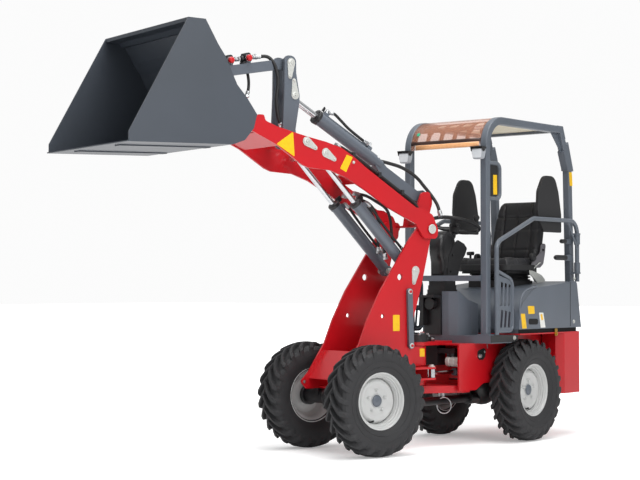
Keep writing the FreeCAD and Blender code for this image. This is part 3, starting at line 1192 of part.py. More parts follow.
def steer_eye():
    """Rod eye of the steering cylinder in rear coordinates at rest."""
    c, s = math.cos(math.radians(REST_STEER)), math.sin(math.radians(REST_STEER))
    x, y = STEER_EYE
    return (PIVOT_X + c * x - s * y, s * x + c * y)


def steer_cylinder():
    a, b = STEER_BASE, steer_eye()
    d = math.hypot(b[0] - a[0], b[1] - a[1])
    ang = math.degrees(math.atan2(b[1] - a[1], b[0] - a[0]))
    barrel = fuse([rod((0, 0, -26), (0, 0, 26), 26), rod((18, 0, 0), (STEER_BARREL_L, 0, 0), STEER_BARREL_R)])
    start = STEER_BARREL_L - STEER_OUT - ROD_HELD
    barrel = barrel.cut(rod((0, 0, -40), (0, 0, 40), 12.4)).cut(rod((start - STEER_IN - 5, 0, 0), (STEER_BARREL_L + 5, 0, 0), STEER_ROD_R + ROD_GAP))
    tip = fuse([rod((start, 0, 0), (d - 18, 0, 0), STEER_ROD_R), rod((d, 0, -26), (d, 0, 26), 24)])
    tip = tip.cut(rod((d, 0, -40), (d, 0, 40), 12.4))
    for s in (barrel, tip):
        s.rotate(V(0, 0, 0), V(0, 0, 1), ang)
        s.translate(V(a[0], a[1], STEER_Z))
    return barrel, tip


def steer_pin():
    return rod((STEER_BASE[0], STEER_BASE[1], STEER_Z - 28), (STEER_BASE[0], STEER_BASE[1], STEER_Z + 28), 12)


# ================================================================ placing and writing
def frame_shift():
    """Middle of the bounding box in the rear machine's coordinates."""
    c, s = math.cos(math.radians(REST_STEER)), math.sin(math.radians(REST_STEER))
    lip_x, w = BUCKET[-1][0] + LIP_REACH, BUCKET_W / 2
    x_max = PIVOT_X + c * lip_x - s * w
    y_min = s * lip_x - c * w
    y_max = TRACK / 2 + TYRE_W / 2
    return ((DECK_REAR_X - TOW_REACH + x_max) / 2, (y_min + y_max) / 2)


def place_front(shape):
    shape = shape.copy()
    shape.rotate(V(0, 0, 0), V(0, 0, 1), REST_STEER)
    shape.translate(V(PIVOT_X, 0, 0))
    return shape


def build():
    """All nodes as name: (list of solids, on the front machine)."""
    nodes = {}

    def add(name, shapes, front=False):
        nodes[name] = (shapes if isinstance(shapes, (list, tuple)) else [shapes], front)

    for name, (s, front) in wheel_set().items():
        add(name, s, front)
    add("rear_axle", axle(0.0, CHASSIS_BOTTOM_Z, SIDE_Y - SIDE_T / 2, 1, PIVOT_X - KNUCKLE_GAP))
    add("front_axle", axle(FRONT_AXLE_X, MAST_FOOT_Z, MAST_Y - MAST_T / 2, -1, KNUCKLE_GAP), True)
    add("rear_chassis", rear_chassis())
    add("counterweight", counterweight())
    add("tow_hitch", tow_hitch())
    add("hood", hood())
    add("engine_block", engine_block())
    add("platform", fuse([platform(), footwell_guard()]))
    add("steering_column", steering_column())
    add("steering_wheel", wheel_hub_ring())
    add("seat_base", fuse([seat_console(), seat_frame(), side_console()]))
    add("seat_cushion", seat_cushion())
    add("seat_back", seat_back())
    add("rops_upper", rops_upper())
    add("rops_lower", rops_lower())
    add("roof_panel", roof_panel())
    add("visor", visor())
    add("gate", fuse([gate_tube(), slotted(GATE_Y)]))
    add("gate_shoulder", shoulder_plate())
    add("right_guard", fuse([right_guard(), slotted(-GATE_Y)]))
    add("right_shoulder", mirror_y(shoulder_plate()))
    add("lamps", lamps())
    add("hydraulics", [hydraulic_block(), front_console()])
    add("pivot_fittings", [pivot_cap(), steer_pin()])
    add("mast", fuse([mast(), front_cover()]), True)
    add("mast_pins", mast_pins() + boom_pivot_pins() + mast_caps() + [safety_prop()], True)
    add("boom", boom(), True)
    add("boom_caps", boom_caps(), True)
    add("tilt_lever", tilt_lever(), True)
    add("lever_pins", lever_caps() + [link_pin()], True)
    add("tilt_link", tilt_link(), True)
    add("bucket", bucket(), True)
    add("hitch", hitch(), True)
    barrels, rods = lift_cylinders()
    add("lift_barrels", barrels, True)
    add("lift_rods", rods, True)
    b, r = tilt_cylinder()
    add("tilt_barrel", b, True)
    add("tilt_rod", r, True)
    b, r = steer_cylinder()
    add("steer_barrel", b)
    add("steer_rod", r)
    return nodes


def main():
    os.makedirs("parts", exist_ok=True)
    dx, dy = frame_shift()
    for name, (shapes, front) in build().items():
        solids = []
        for s in shapes:
            s = place_front(s) if front else s.copy()
            s.translate(V(-dx, -dy, 0))
            solids += s.Solids
        whole = solids[0] if len(solids) == 1 else Part.makeCompound(solids)
        whole.exportStep("parts/%s.step" % name)
        print("%-18s solids %d  volume %.4f l" % (name, len(solids), whole.Volume / 1e6))


if __name__ == "__main__":
    main()
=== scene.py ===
# %% [markdown]
# # Compact wheel loader
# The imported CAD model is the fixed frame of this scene. Every piece below is built in millimetres on one
# half of the machine, then set in place and handed to the CAD body that it moves with.

# %% Load the frame
import json
import math

import bmesh
import bpy
from mathutils import Matrix, Vector


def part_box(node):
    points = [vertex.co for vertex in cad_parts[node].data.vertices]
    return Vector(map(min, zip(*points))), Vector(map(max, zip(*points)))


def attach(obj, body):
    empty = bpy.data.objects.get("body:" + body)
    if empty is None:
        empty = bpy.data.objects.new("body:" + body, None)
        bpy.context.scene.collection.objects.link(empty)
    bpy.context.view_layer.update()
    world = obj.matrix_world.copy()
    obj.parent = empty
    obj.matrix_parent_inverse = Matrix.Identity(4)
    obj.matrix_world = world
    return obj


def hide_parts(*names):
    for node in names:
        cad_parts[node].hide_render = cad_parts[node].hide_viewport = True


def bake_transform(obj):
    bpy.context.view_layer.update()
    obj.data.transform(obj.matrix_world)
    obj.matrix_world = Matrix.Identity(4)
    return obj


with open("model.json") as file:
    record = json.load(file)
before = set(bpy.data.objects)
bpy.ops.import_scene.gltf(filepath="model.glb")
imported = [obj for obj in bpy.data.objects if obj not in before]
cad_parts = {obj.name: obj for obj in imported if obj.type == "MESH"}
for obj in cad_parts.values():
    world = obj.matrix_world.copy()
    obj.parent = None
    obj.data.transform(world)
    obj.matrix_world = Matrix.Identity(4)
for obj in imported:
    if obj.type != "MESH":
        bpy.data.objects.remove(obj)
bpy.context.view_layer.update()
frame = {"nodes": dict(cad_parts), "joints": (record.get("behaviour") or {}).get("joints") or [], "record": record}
nodes = frame["nodes"]

# %% [markdown]
# The machine bends in its middle. The rear half and the front half each have their own straight axes, and
# the front half stands turned about the steering pivot. Two placing matrices turn millimetres on a half
# machine into metres in the scene, and both are read from the frame.

# %% Places on the two half machines
MM = 0.001
ORIGIN, AHEAD, LEFT, UP = (0, 0, 0), (1, 0, 0), (0, 1, 0), (0, 0, 1)


def centre(node):
    low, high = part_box(node)
    return (low + high) / 2


def on(place, points):
    return [place @ Vector(point) for point in points]


steer = next(joint for joint in frame["joints"] if joint["name"] == "steer")
pivot = Vector((steer["pos_m"][0], steer["pos_m"][1], 0))
rear_origin = Vector((centre("rim_rl").x, centre("rear_chassis").y, 0))
across = centre("rim_fl") - centre("rim_fr")
heading = math.atan2(-across.x, across.y)
REAR = Matrix.Translation(rear_origin) @ Matrix.Scale(MM, 4)
FRONT = Matrix.Translation(pivot) @ Matrix.Rotation(heading, 4, "Z") @ Matrix.Scale(MM, 4)
print("front half turned by", round(math.degrees(heading), 1), "degrees")

# %% [markdown]
# A long lens far away keeps the machine's proportions calm. The camera stands to the left of and ahead of
# the loader at about one metre height and looks very slightly up.

# %% Camera
CAMERA_AT = (8873, 5800, 1021)
CAMERA_YAW = math.radians(-140.93)
CAMERA_PITCH = 0.0294
CAMERA_LENS = 87.6

camera_data = bpy.data.cameras.new("camera")
camera_data.lens = CAMERA_LENS
camera_data.clip_end = 200
camera = bpy.data.objects.new("camera", camera_data)
camera.location = REAR @ Vector(CAMERA_AT)
camera.rotation_euler = (math.pi / 2 + CAMERA_PITCH, 0, CAMERA_YAW - math.pi / 2)
bpy.context.scene.collection.objects.link(camera)
bpy.context.scene.camera = camera
print("camera at", [round(v, 2) for v in camera.location])

# %% [markdown]
# A material is a small graph. One function turns a hex colour into linear light, one adds a node with its
# settings and links, and each material below is written from what the real surface is made of.

# %% Colour and node helpers
NOISE, CELLS = "ShaderNodeTexNoise", "ShaderNodeTexVoronoi"


def colour(hex_value):
    """sRGB hex text to linear RGBA."""
    parts = [int(hex_value[i:i + 2], 16) / 255 for i in (1, 3, 5)]
    linear = [c / 12.92 if c <= 0.04045 else ((c + 0.055) / 1.055) ** 2.4 for c in parts]
    return (*linear, 1.0)


def node(tree, kind, settings=None, **sockets):
    """Adds a node; a socket takes a value, or another node's output socket as a link."""
    made = tree.nodes.new(kind)
    for key, value in (settings or {}).items():
        setattr(made, key, value)
    for key, value in sockets.items():
        numbered = key[0] == "i" and key[1:].isdigit()
        socket = made.inputs[int(key[1:]) if numbered else key.replace("_", " ")]
        if isinstance(value, bpy.types.NodeSocket):
            tree.links.new(value, socket)
        else:
            socket.default_value = value
    return made


def spread(tree, value, low, high, from_low=0.3, from_high=0.7):
    """Maps a noise value to the range low to high."""
    mapped = node(tree, "ShaderNodeMapRange", None, i0=value, i1=from_low, i2=from_high, i3=low, i4=high)
    return mapped.outputs[0]


def surface(name, face, shade, rough, cloud, grain=None, bump=None, **constants):
    """A finish that drifts between two hex colours, and between a low and a high roughness, with a cloud noise.
    grain is (texture, settings, sockets) of the fine relief and bump its (strength, metres)."""
    made = bpy.data.materials.new(name)
    made.use_nodes = True
    tree = made.node_tree
    shader = tree.nodes["Principled BSDF"]
    place = node(tree, "ShaderNodeTexCoord").outputs["Object"]
    haze = node(tree, NOISE, None, Vector=place, **cloud).outputs[0]
    mix = node(tree, "ShaderNodeMix", {"data_type": "RGBA"}, Factor=spread(tree, haze, 0, 1), i6=colour(face),
               i7=colour(shade))
    tree.links.new(mix.outputs[2], shader.inputs["Base Color"])
    tree.links.new(spread(tree, haze, *rough), shader.inputs["Roughness"])
    if grain:
        texture, settings, sockets = grain
        fine = node(tree, texture, settings, Vector=place, **sockets)
        relief = node(tree, "ShaderNodeBump", None, Height=fine.outputs[0], Strength=bump[0], Distance=bump[1])
        tree.links.new(relief.outputs[0], shader.inputs["Normal"])
    for socket, value in constants.items():
        shader.inputs[socket.replace("_", " ")].default_value = value
    return made


# %% [markdown]
# ## Painted steel
# Frame, boom, bonnet and bucket are steel plates with a baked powder coat. Powder melts into a smooth
# skin with a faint orange peel of about 3 mm waves, so the gloss is soft-edged but clearly there. New
# paint has no wear: a slow drift of shade and gloss is enough to keep large plates from looking flat.

# %% Powder coat materials
PEEL_MM = 3.0


def powder_coat(name, face, shade, roughness, coat):
    return surface(name, face, shade, (roughness, roughness + 0.07), {"Scale": 2.2, "Detail": 3.0},
                   (NOISE, None, {"Scale": 1000 / PEEL_MM, "Detail": 1.0}), (0.06, 0.0003), Coat_Weight=coat,
                   Coat_Roughness=0.12)


red_powder_coat = powder_coat("signal red powder coat", "#c4101c", "#b80d19", 0.32, 0.2)
slate_powder_coat = powder_coat("slate grey powder coat", "#5f6670", "#585f68", 0.36, 0.25)
bucket_powder_coat = powder_coat("dark slate bucket coat", "#464c55", "#40464e", 0.38, 0.25)
black_powder_coat = powder_coat("satin black powder coat", "#1d1d1f", "#17171a", 0.38, 0.2)
wheel_lacquer = powder_coat("silver white wheel lacquer", "#c3c4c3", "#bcbdbc", 0.38, 0.25)
print("painted finishes ready")

# %% [markdown]
# ## Rubber
# Tyres are carbon-black rubber pressed in a mould: almost black, matt, with a fine cloudy bloom and a
# bump as fine as sandpaper. Hoses are extruded from the same rubber, smoother and a little glossier.

# %% Rubber materials
GRIT_MM = 1.6


def rubber(name, face, bloom, roughness, strength):
    return surface(name, face, bloom, (roughness, roughness + 0.12), {"Scale": 14.0, "Detail": 4.0},
                   (NOISE, None, {"Scale": 1000 / GRIT_MM, "Detail": 2.0}), (strength, 0.0004))


tyre_rubber = rubber("moulded tyre rubber", "#232325", "#2b2b2d", 0.62, 0.35)
hose_rubber = rubber("extruded hose rubber", "#1b1b1c", "#212122", 0.5, 0.15)
print("rubber finishes ready")

# %% [markdown]
# ## Plastic, vinyl and glazing
# Levers and covers are moulded ABS with a spark-eroded grain of 1.2 mm. The chair is foam under black
# vinyl with a leather-like grain of about 3 mm cells. The roof is a moulded sheet, umber outside and cream
# inside, and its screen is smoked polycarbonate that lets a warm brown light through.

# %% Plastic, vinyl and glazing materials
GRAIN_MM = 1.2
VINYL_CELL_MM = 3.0


def moulded_plastic(name, face, shade, roughness):
    return surface(name, face, shade, (roughness, roughness + 0.08), {"Scale": 9.0},
                   (CELLS, None, {"Scale": 1000 / GRAIN_MM}), (0.12, 0.0003))


black_abs = moulded_plastic("black moulded ABS", "#1c1c1e", "#232325", 0.5)
seat_vinyl = surface("black grained vinyl", "#1f1f21", "#26262a", (0.42, 0.52), {"Scale": 18.0, "Detail": 3.0},
                     (CELLS, {"feature": "DISTANCE_TO_EDGE"}, {"Scale": 1000 / VINYL_CELL_MM}), (0.28, 0.0006))
cream_liner = moulded_plastic("cream roof liner", "#e9dfc6", "#e3d8bd", 0.55)
smoked_sheet = surface("smoked polycarbonate", "#c08468", "#c08468", (0.1, 0.14), {"Scale": 6.0, "Detail": 2.0},
                       Alpha=0.4, IOR=1.58)
warm_grey_abs = moulded_plastic("warm grey moulded ABS", "#77757a", "#6e6c71", 0.45)
red_abs = moulded_plastic("red moulded ABS", "#c8141c", "#bd1119", 0.38)
umber_liner = moulded_plastic("umber outside of the liner", "#6b4a3c", "#634436", 0.5)
burnt_umber = moulded_plastic("burnt umber strip", "#3a1d12", "#30170e", 0.4)
gloss_abs = moulded_plastic("semi-gloss black ABS", "#161617", "#1b1b1d", 0.28)
lamp_casting = moulded_plastic("light grey die casting", "#a9adb2", "#9fa3a9", 0.45)
lamp_glass = moulded_plastic("clear lamp lens", "#dfe3e6", "#d4d9dd", 0.12)
pit_black = moulded_plastic("shade in a deep recess", "#0b0b0c", "#101012", 0.8)
print("plastic, vinyl and glazing finishes ready")

# %% [markdown]
# ## Bare and plated metal
# Piston rods are hard-chromed and ground, so they mirror sharply. Fittings and pins are zinc plated, a
# little cloudy. The pivot's castings are raw grey iron, rough as fine sand.

# %% Metal materials


def plated_metal(name, face, shade, roughness, wave_mm, strength, metallic=1.0):
    return surface(name, face, shade, (roughness, roughness + 0.1), {"Scale": 30.0, "Detail": 3.0},
                   (NOISE, None, {"Scale": 1000 / wave_mm, "Detail": 2.0}), (strength, 0.0003), Metallic=metallic)


hard_chrome = plated_metal("ground hard chrome", "#d5d7d9", "#cacccf", 0.1, 2.0, 0.03)
zinc_plate = plated_metal("zinc plated steel", "#c9cbcc", "#b4b6b8", 0.34, 2.5, 0.1)
bright_zinc = plated_metal("blue-white zinc sheet", "#d6d7d2", "#c6c8c4", 0.46, 2.5, 0.06, 0.55)
brass_fitting = plated_metal("machined brass", "#c9a24b", "#b48d3c", 0.28, 2.0, 0.08)
grey_iron = plated_metal("raw cast iron", "#4a4a4b", "#3f3f41", 0.6, 1.8, 0.5)
print("metal finishes ready")

# %% [markdown]
# ## Printed film
# Labels are thin printed vinyl film. They carry no words: plain yellow, white and tinted panels.

# %% Label materials


def plain_film(name, face, shade):
    return surface(name, face, shade, (0.28, 0.38), {"Scale": 60.0})


yellow_film = plain_film("yellow vinyl film", "#f2c21a", "#eab810")
white_film = plain_film("white vinyl film", "#e8e8e4", "#dededa")
amber_film = plain_film("amber tinted film", "#f2b682", "#ecab74")
green_film = plain_film("green dot film", "#2fae86", "#2aa07b")
print("label films ready")

# %% [markdown]
# ## Finishes on the CAD nodes
# The record names a finish slot for every node. Each node whose shape is right keeps its mesh and only
# gets the finish of its slot.

# %% Assign finishes
FINISH_OF_SLOT = {"tyre": tyre_rubber, "wheel_paint": wheel_lacquer, "red_paint": red_powder_coat,
                  "grey_paint": slate_powder_coat, "dark_paint": bucket_powder_coat,
                  "black_paint": black_powder_coat, "black_plastic": black_abs, "vinyl": seat_vinyl,
                  "cast": grey_iron, "zinc": zinc_plate, "chrome": hard_chrome, "smoked": smoked_sheet,
                  "roof": cream_liner, }
slot_of_node = {part["node"]: part["material_slot"] for part in frame["record"]["subparts"]}


def finish_node(name, finish):
    nodes[name].data.materials.clear()
    nodes[name].data.materials.append(finish)


for name in nodes:
    finish_node(name, FINISH_OF_SLOT[slot_of_node[name]])
print("finished", len(nodes), "nodes")

# %% [markdown]
# ## How pieces are made
# Each piece is a closed mesh drawn in millimetres with a few plain solids: a block, a plate with an
# outline, a turned profile and a pipe along a path. One function places it, softens its edges with a
# bevel, gives it its finish and hands it to the body that carries it. The body says which half machine
# the piece is drawn on.

# %% Solids in millimetres


def add_block(bm, x0, x1, y0, y1, z0, z1):
    corners = [bm.verts.new((x, y, z)) for x in (x0, x1) for y in (y0, y1) for z in (z0, z1)]
    for a, b, c, d in ((0, 1, 3, 2), (4, 6, 7, 5), (0, 4, 5, 1), (2, 3, 7, 6), (0, 2, 6, 4), (1, 5, 7, 3)):
        bm.faces.new((corners[a], corners[b], corners[c], corners[d]))


def add_plate(bm, outline, lie, low, high):
    """Plate with a flat outline; lie names the axis that it is thick along."""
    turn = {"x": lambda a, b, t: (t, a, b), "y": lambda a, b, t: (a, t, b), "z": lambda a, b, t: (a, b, t)}[lie]
    under = [bm.verts.new(turn(a, b, low)) for a, b in outline]
    over = [bm.verts.new(turn(a, b, high)) for a, b in outline]
    bm.faces.new(under)
    bm.faces.new(over)
    for i in range(len(outline)):
        j = (i + 1) % len(outline)
        bm.faces.new((under[i], under[j], over[j], over[i]))
    return under + over


def rounded(outline, radius, steps=5):
    """Outline with each corner turned into an arc."""
    out = []
    n = len(outline)
    for i in range(n):
        corner = Vector(outline[i])
        before, after = Vector(outline[i - 1]) - corner, Vector(outline[(i + 1) % n]) - corner
        half = before.angle(after) / 2
        reach = min(radius / math.tan(half), before.length * 0.49, after.length * 0.49)
        arc = reach * math.tan(half)
        middle = corner + (before.normalized() + after.normalized()).normalized() * (arc / math.sin(half))
        start, end = corner + before.normalized() * reach - middle, corner + after.normalized() * reach - middle
        for k in range(steps + 1):
            out.append(tuple(middle + start.slerp(end, k / steps).normalized() * start.length))
    return out


def add_skin(bm, rings):
    """Closed skin over a row of rings that have as many points each; its ends are flat."""
    count = len(rings[0])
    for first, second in zip(rings, rings[1:]):
        for k in range(count):
            j = (k + 1) % count
            bm.faces.new((first[k], first[j], second[j], second[k]))
    bm.faces.new(rings[0])
    bm.faces.new(rings[-1])


def circle(steps):
    return [2 * math.pi * k / steps for k in range(steps)]


def across_axis(along):
    """Unit axis and the two unit directions across it."""
    axis = Vector(along).normalized()
    side = axis.orthogonal().normalized()
    return axis, side, axis.cross(side)


def add_turned(bm, profile, at, along, sides=32):
    """Solid of revolution: profile holds (distance along the axis, radius) and is closed at both ends."""
    axis, side, other = across_axis(along)
    rings = []
    for distance, radius in profile:
        middle = Vector(at) + axis * distance
        turns = circle(sides) if radius > 1e-6 else [0]
        rings.append([bm.verts.new(middle + (side * math.cos(a) + other * math.sin(a)) * radius) for a in turns])
    for first, second in zip(rings, rings[1:]):
        for k in range(sides):
            j = (k + 1) % sides
            face = [first[k % len(first)], first[j % len(first)], second[j % len(second)],
                    second[k % len(second)]]
            face = list(dict.fromkeys(face))
            if len(face) > 2:
                bm.faces.new(face)
    for ring in (rings[0], rings[-1]):
        if len(ring) > 1:
            bm.faces.new(ring)


def add_ring(bm, loop, at, along, sides=64):
    """Ring whose closed cross-section is (distance along the axis, radius)."""
    axis, side, other = across_axis(along)
    spokes = [side * math.cos(a) + other * math.sin(a) for a in circle(sides)]
    rings = [[bm.verts.new(Vector(at) + axis * d + spoke * r) for d, r in loop] for spoke in spokes]
    for k in range(sides):
        first, second = rings[k], rings[(k + 1) % sides]
        for i in range(len(loop)):
            j = (i + 1) % len(loop)
            bm.faces.new((first[i], first[j], second[j], second[i]))


def add_bolt(bm, at, along, across=15, high=8):
    """Hexagon head on a washer."""
    add_turned(bm, [(0, across * 0.75), (2, across * 0.75)], at, along, 20)
    add_turned(bm, [(2, across * 0.57), (high, across * 0.57), (high + 1, across * 0.48)], at, along, 6)


def add_pipe(bm, path, radius, sides=10):
    """Round pipe along a smooth line of points."""
    points = [Vector(p) for p in path]
    rings = []
    side = None
    for i, point in enumerate(points):
        forward = (points[min(i + 1, len(points) - 1)] - points[max(i - 1, 0)]).normalized()
        side = forward.orthogonal() if side is None else side - forward * side.dot(forward)
        side.normalize()
        other = forward.cross(side)
        spokes = [side * math.cos(a) + other * math.sin(a) for a in circle(sides)]
        rings.append([bm.verts.new(point + spoke * radius) for spoke in spokes])
    add_skin(bm, rings)


def flowing(points, steps=8):
    """Points of a smooth line through the given ones."""
    knots = [Vector(p) for p in points]
    knots = [2 * knots[0] - knots[1]] + knots + [2 * knots[-1] - knots[-2]]
    line = []
    for i in range(1, len(knots) - 2):
        a, b, c, d = knots[i - 1:i + 3]
        for k in range(steps):
            t = k / steps
            square, cube = 2 * a - 5 * b + 4 * c - d, 3 * b - a - 3 * c + d
            line.append(0.5 * (2 * b + (c - a) * t + square * t * t + cube * t ** 3))
    return line + [knots[-2]]


# %% Place, finish and hand over a piece


SLOT_OF_FINISH = {finish.name: slot for slot, finish in FINISH_OF_SLOT.items()}
SLOT_OF_FINISH.update({bright_zinc.name: "zinc", gloss_abs.name: "black_plastic", umber_liner.name: "roof"})
REAR_BODIES = ("rear_machine", "gate")


def drawn(*parts):
    """New mesh with solids drawn in it; each part is a drawing function and what it is given."""
    bm = bmesh.new()
    for draw, *given in parts:
        draw(bm, *given)
    return bm


def piece(name, bm, finish, body="rear_machine", place=None, bevel=0.0, smooth=35.0, slot_name=None,
          stands_for=()):
    """Turns a mesh in millimetres into an object that rides its body; place follows the body, and slot_name is not
    used.
    """
    place = place or (REAR if body in REAR_BODIES else FRONT)
    slot_name = slot_name or SLOT_OF_FINISH.get(finish.name)
    bm.transform(place)
    bmesh.ops.recalc_face_normals(bm, faces=bm.faces)
    mesh = bpy.data.meshes.new(name)
    bm.to_mesh(mesh)
    bm.free()
    mesh.materials.append(finish)
    made = bpy.data.objects.new(name, mesh)
    bpy.context.scene.collection.objects.link(made)
    mesh.shade_smooth()
    mesh.set_sharp_from_angle(angle=math.radians(smooth))
    if bevel:
        soften = made.modifiers.new("soft edges", "BEVEL")
        soften.width = bevel * MM
        soften.segments = 2
        soften.limit_method = "ANGLE"
        soften.angle_limit = math.radians(smooth)
        soften.harden_normals = True
    if body:
        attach(made, body)
    if stands_for:
        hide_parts(*stands_for)
    return made


# %% [markdown]
# ## Tyres
# The tyres are field tyres: a smooth sidewall and a tread of slanted bars that meet in a herringbone.
# A bar is a block that follows the round of the tyre from just over the middle to the shoulder and down
# its side. One bar is drawn from a few stations and repeated round both sides, half a step apart.

# %% Tyre with herringbone bars
CORNERS = ("fl", "fr", "rl", "rr")
tyre_low, tyre_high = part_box("tyre_rl")
TYRE_HALF = (tyre_high.y - tyre_low.y) / 2 / MM
BARS = 24
CARCASS = [(-60, 160), (-66, 176), (-80, 196), (-91, 226), (-95, 256), (-90, 284), (-76, 300), (-44, 307),
           (0, 309), (44, 307), (76, 300), (90, 284), (95, 256), (91, 226), (80, 196), (66, 176), (60, 160)]
BAR_STATIONS = [(-9, 308, 26, 1.55), (18, 308, 27, 1.05), (46, 306, 27, 0.62), (72, 300, 28, 0.28),
                (88, 286, 22, 0.1), (94, 268, 3.2, 0.02), (94.5, 250, 1.0, 0.0)]


def wheel_place(corner):
    """Wheel axes: y runs outward on both sides of the machine."""
    side = 1 if corner[1] == "l" else -1
    turn = Matrix.Rotation(heading if corner[0] == "f" else 0, 4, "Z")
    return Matrix.Translation(centre("tyre_" + corner)) @ turn @ Matrix.Diagonal((MM, side * MM, MM, 1))


def add_bar(bm, angle, side, step):
    """One tread bar; each station is (distance from the middle, radius, height, lead in steps)."""
    sections = []
    for across_y, radius, high, lead in BAR_STATIONS:
        wide_base, wide_top = (38, 24) if high > 10 else (30, 20)
        turn = angle + lead * step
        tilt = min(max((across_y - 60) / 40, 0), 1) * 1.15
        out_y, out_r = math.sin(tilt) * high, math.cos(tilt) * high
        section = []
        for wide, lift in ((-wide_base, 0), (-wide_top, 1), (wide_top, 1), (wide_base, 0)):
            r = radius - 4 + lift * (out_r + 4)
            y = across_y + lift * out_y * 0.35
            a = turn + wide / 2 / radius
            section.append(bm.verts.new((r * math.cos(a), side * min(y, TYRE_HALF), r * math.sin(a))))
        sections.append(section)
    add_skin(bm, sections)


def tyre(corner):
    bm = drawn((add_ring, CARCASS, ORIGIN, LEFT, 96))
    for radius, height, y in ((205, 1.5, 84), (240, 1.2, 93.5)):
        ridge = [(y - 2, radius - 2.5), (y + height, radius - 1.5), (y + height, radius + 1.5),
                 (y - 2, radius + 2.5)]
        add_ring(bm, ridge, ORIGIN, LEFT, 96)
    step = 2 * math.pi / BARS
    for i in range(BARS):
        add_bar(bm, i * step, 1, step)
        add_bar(bm, (i + 0.5) * step, -1, step)
    return piece("tyre_" + corner + "_tread", bm, tyre_rubber, "wheel_" + corner, wheel_place(corner), bevel=2.5,
                 smooth=30, stands_for=["tyre_" + corner])


for corner in CORNERS:
    made = tyre(corner)
print("tyres", len(made.data.polygons), "faces each")

# %% [markdown]
# ## Wheels
# The rim is rolled steel with steps; a pressed disc is welded into it, dished outward with a rounded
# shoulder. Five domed nuts hold it round a grey hub cap, and a rubber valve stands between disc and rim.

# %% Rim, disc, nuts and valve
RIM_LOOP = [(65, 172), (65, 165), (60, 160), (50, 157), (47, 151), (36, 149), (33, 143), (20, 141), (16, 137),
            (-30, 137), (-52, 152), (-60, 165), (-65, 167), (-65, 172), (-59, 172), (-56, 160), (-34, 142),
            (26, 142), (40, 154), (56, 162), (59, 172)]
DISC_LOOP = [(16, 34), (17, 52), (14, 78), (17, 92), (25, 104), (27, 113), (23, 122), (12, 129), (2, 138),
             (-6, 138), (2, 127), (12, 120), (16, 112), (14, 106), (6, 94), (4, 78), (4, 34)]
NUT_CIRCLE = 62.0
VALVE_ANGLE, VALVE_CIRCLE = -1.15, 139.0


def wheel(corner):
    place, body = wheel_place(corner), "wheel_" + corner
    bm = drawn((add_ring, RIM_LOOP, ORIGIN, LEFT, 96), (add_ring, DISC_LOOP, ORIGIN, LEFT, 96))
    for a in circle(5):
        at = (NUT_CIRCLE * math.cos(a + 0.3), 14, NUT_CIRCLE * math.sin(a + 0.3))
        add_turned(bm, [(0, 13), (5, 12), (7, 9.5)], at, LEFT, 20)
        add_turned(bm, [(6, 9.5), (14, 9.5), (17, 7), (18, 0)], at, LEFT, 6)
    piece("rim_" + corner + "_dish", bm, wheel_lacquer, body, place, bevel=1.0, smooth=40,
          stands_for=["rim_" + corner])
    piece("hub_cap_" + corner, drawn(
        (add_turned, [(-12, 35), (20, 35), (24, 32), (26, 28), (26.5, 4), (25, 3), (25, 0)], ORIGIN, LEFT, 48)),
            slate_powder_coat, body, place, smooth=40)
    piece("hub_ring_" + corner, drawn(
        (add_ring, [(14, 33), (20, 36), (20, 41), (16, 42)], ORIGIN, LEFT, 48)), zinc_plate, body, place,
            smooth=40)
    out, up = math.cos(VALVE_ANGLE), math.sin(VALVE_ANGLE)
    piece("valve_" + corner, drawn(
        (add_turned, [(0, 8), (6, 7), (12, 5), (30, 4.5), (31, 6), (40, 6), (42, 4)],
            (VALVE_CIRCLE * out, 14, VALVE_CIRCLE * up), (-0.3 * out, 1, -0.3 * up), 14)), black_abs, body, place,
            smooth=40)


for corner in CORNERS:
    wheel(corner)
print("wheels dressed")

# %% [markdown]
# ## The driver's chair
# A sprung driver's seat: foam under black vinyl, with raised side bolsters and sewn channels. Each pad is
# a crowned closed form made from a grid whose thickness falls away to its rim, with a groove pressed in
# along every seam. The seams are real geometry.

# %% Chair pads
PAD_ACROSS = 56
PAD_UP = 64
PAD_BACK = 8


def seam(distance, depth, width):
    return -depth * math.exp(-(distance / width) ** 2)


def add_pad(bm, shape, half_width, crown, seams, length):
    """Pad from a base line shape(v) -> (x, z, nx, nz) along its length; crown(u, v) is its height above it."""
    front, back = [], []
    for i in range(PAD_UP + 1):
        v = i / PAD_UP
        row_front, row_back = [], []
        x, z, nx, nz = shape(v)
        for j in range(PAD_ACROSS + 1):
            u = 2 * j / PAD_ACROSS - 1
            width = half_width(v)
            y = width * math.copysign(1 - (1 - abs(u)) ** 1.25, u) if u else 0.0
            rim = max((1 - abs(u) ** 5) * (1 - abs(2 * v - 1) ** 9), 0)
            h = crown(u, v) * rim ** 0.45
            for kind, at, depth, wide in seams:
                d = (y - at) if kind == "y" else (v * length - at)
                h += seam(d, depth, wide) * min(1, rim * 3)
            deep = PAD_BACK * rim ** 0.5
            row_front.append(bm.verts.new((x + nx * h, y, z + nz * h)))
            row_back.append(bm.verts.new((x - nx * deep, y, z - nz * deep)))
        front.append(row_front)
        back.append(row_back)
    for i in range(PAD_UP):
        for j in range(PAD_ACROSS):
            bm.faces.new((front[i][j], front[i][j + 1], front[i + 1][j + 1], front[i + 1][j]))
            bm.faces.new((back[i][j], back[i + 1][j], back[i + 1][j + 1], back[i][j + 1]))
    bmesh.ops.remove_doubles(bm, verts=bm.verts, dist=0.05)


back_low, back_high = on(REAR.inverted(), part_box("seat_back"))
cushion_low, cushion_high = on(REAR.inverted(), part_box("seat_cushion"))
print("seat back", [round(v) for v in back_low], [round(v) for v in back_high])
print("seat cushion", [round(v) for v in cushion_low], [round(v) for v in cushion_high])
BACK_LEAN = math.atan2(95, 465)
BACK_LENGTH = 460.0


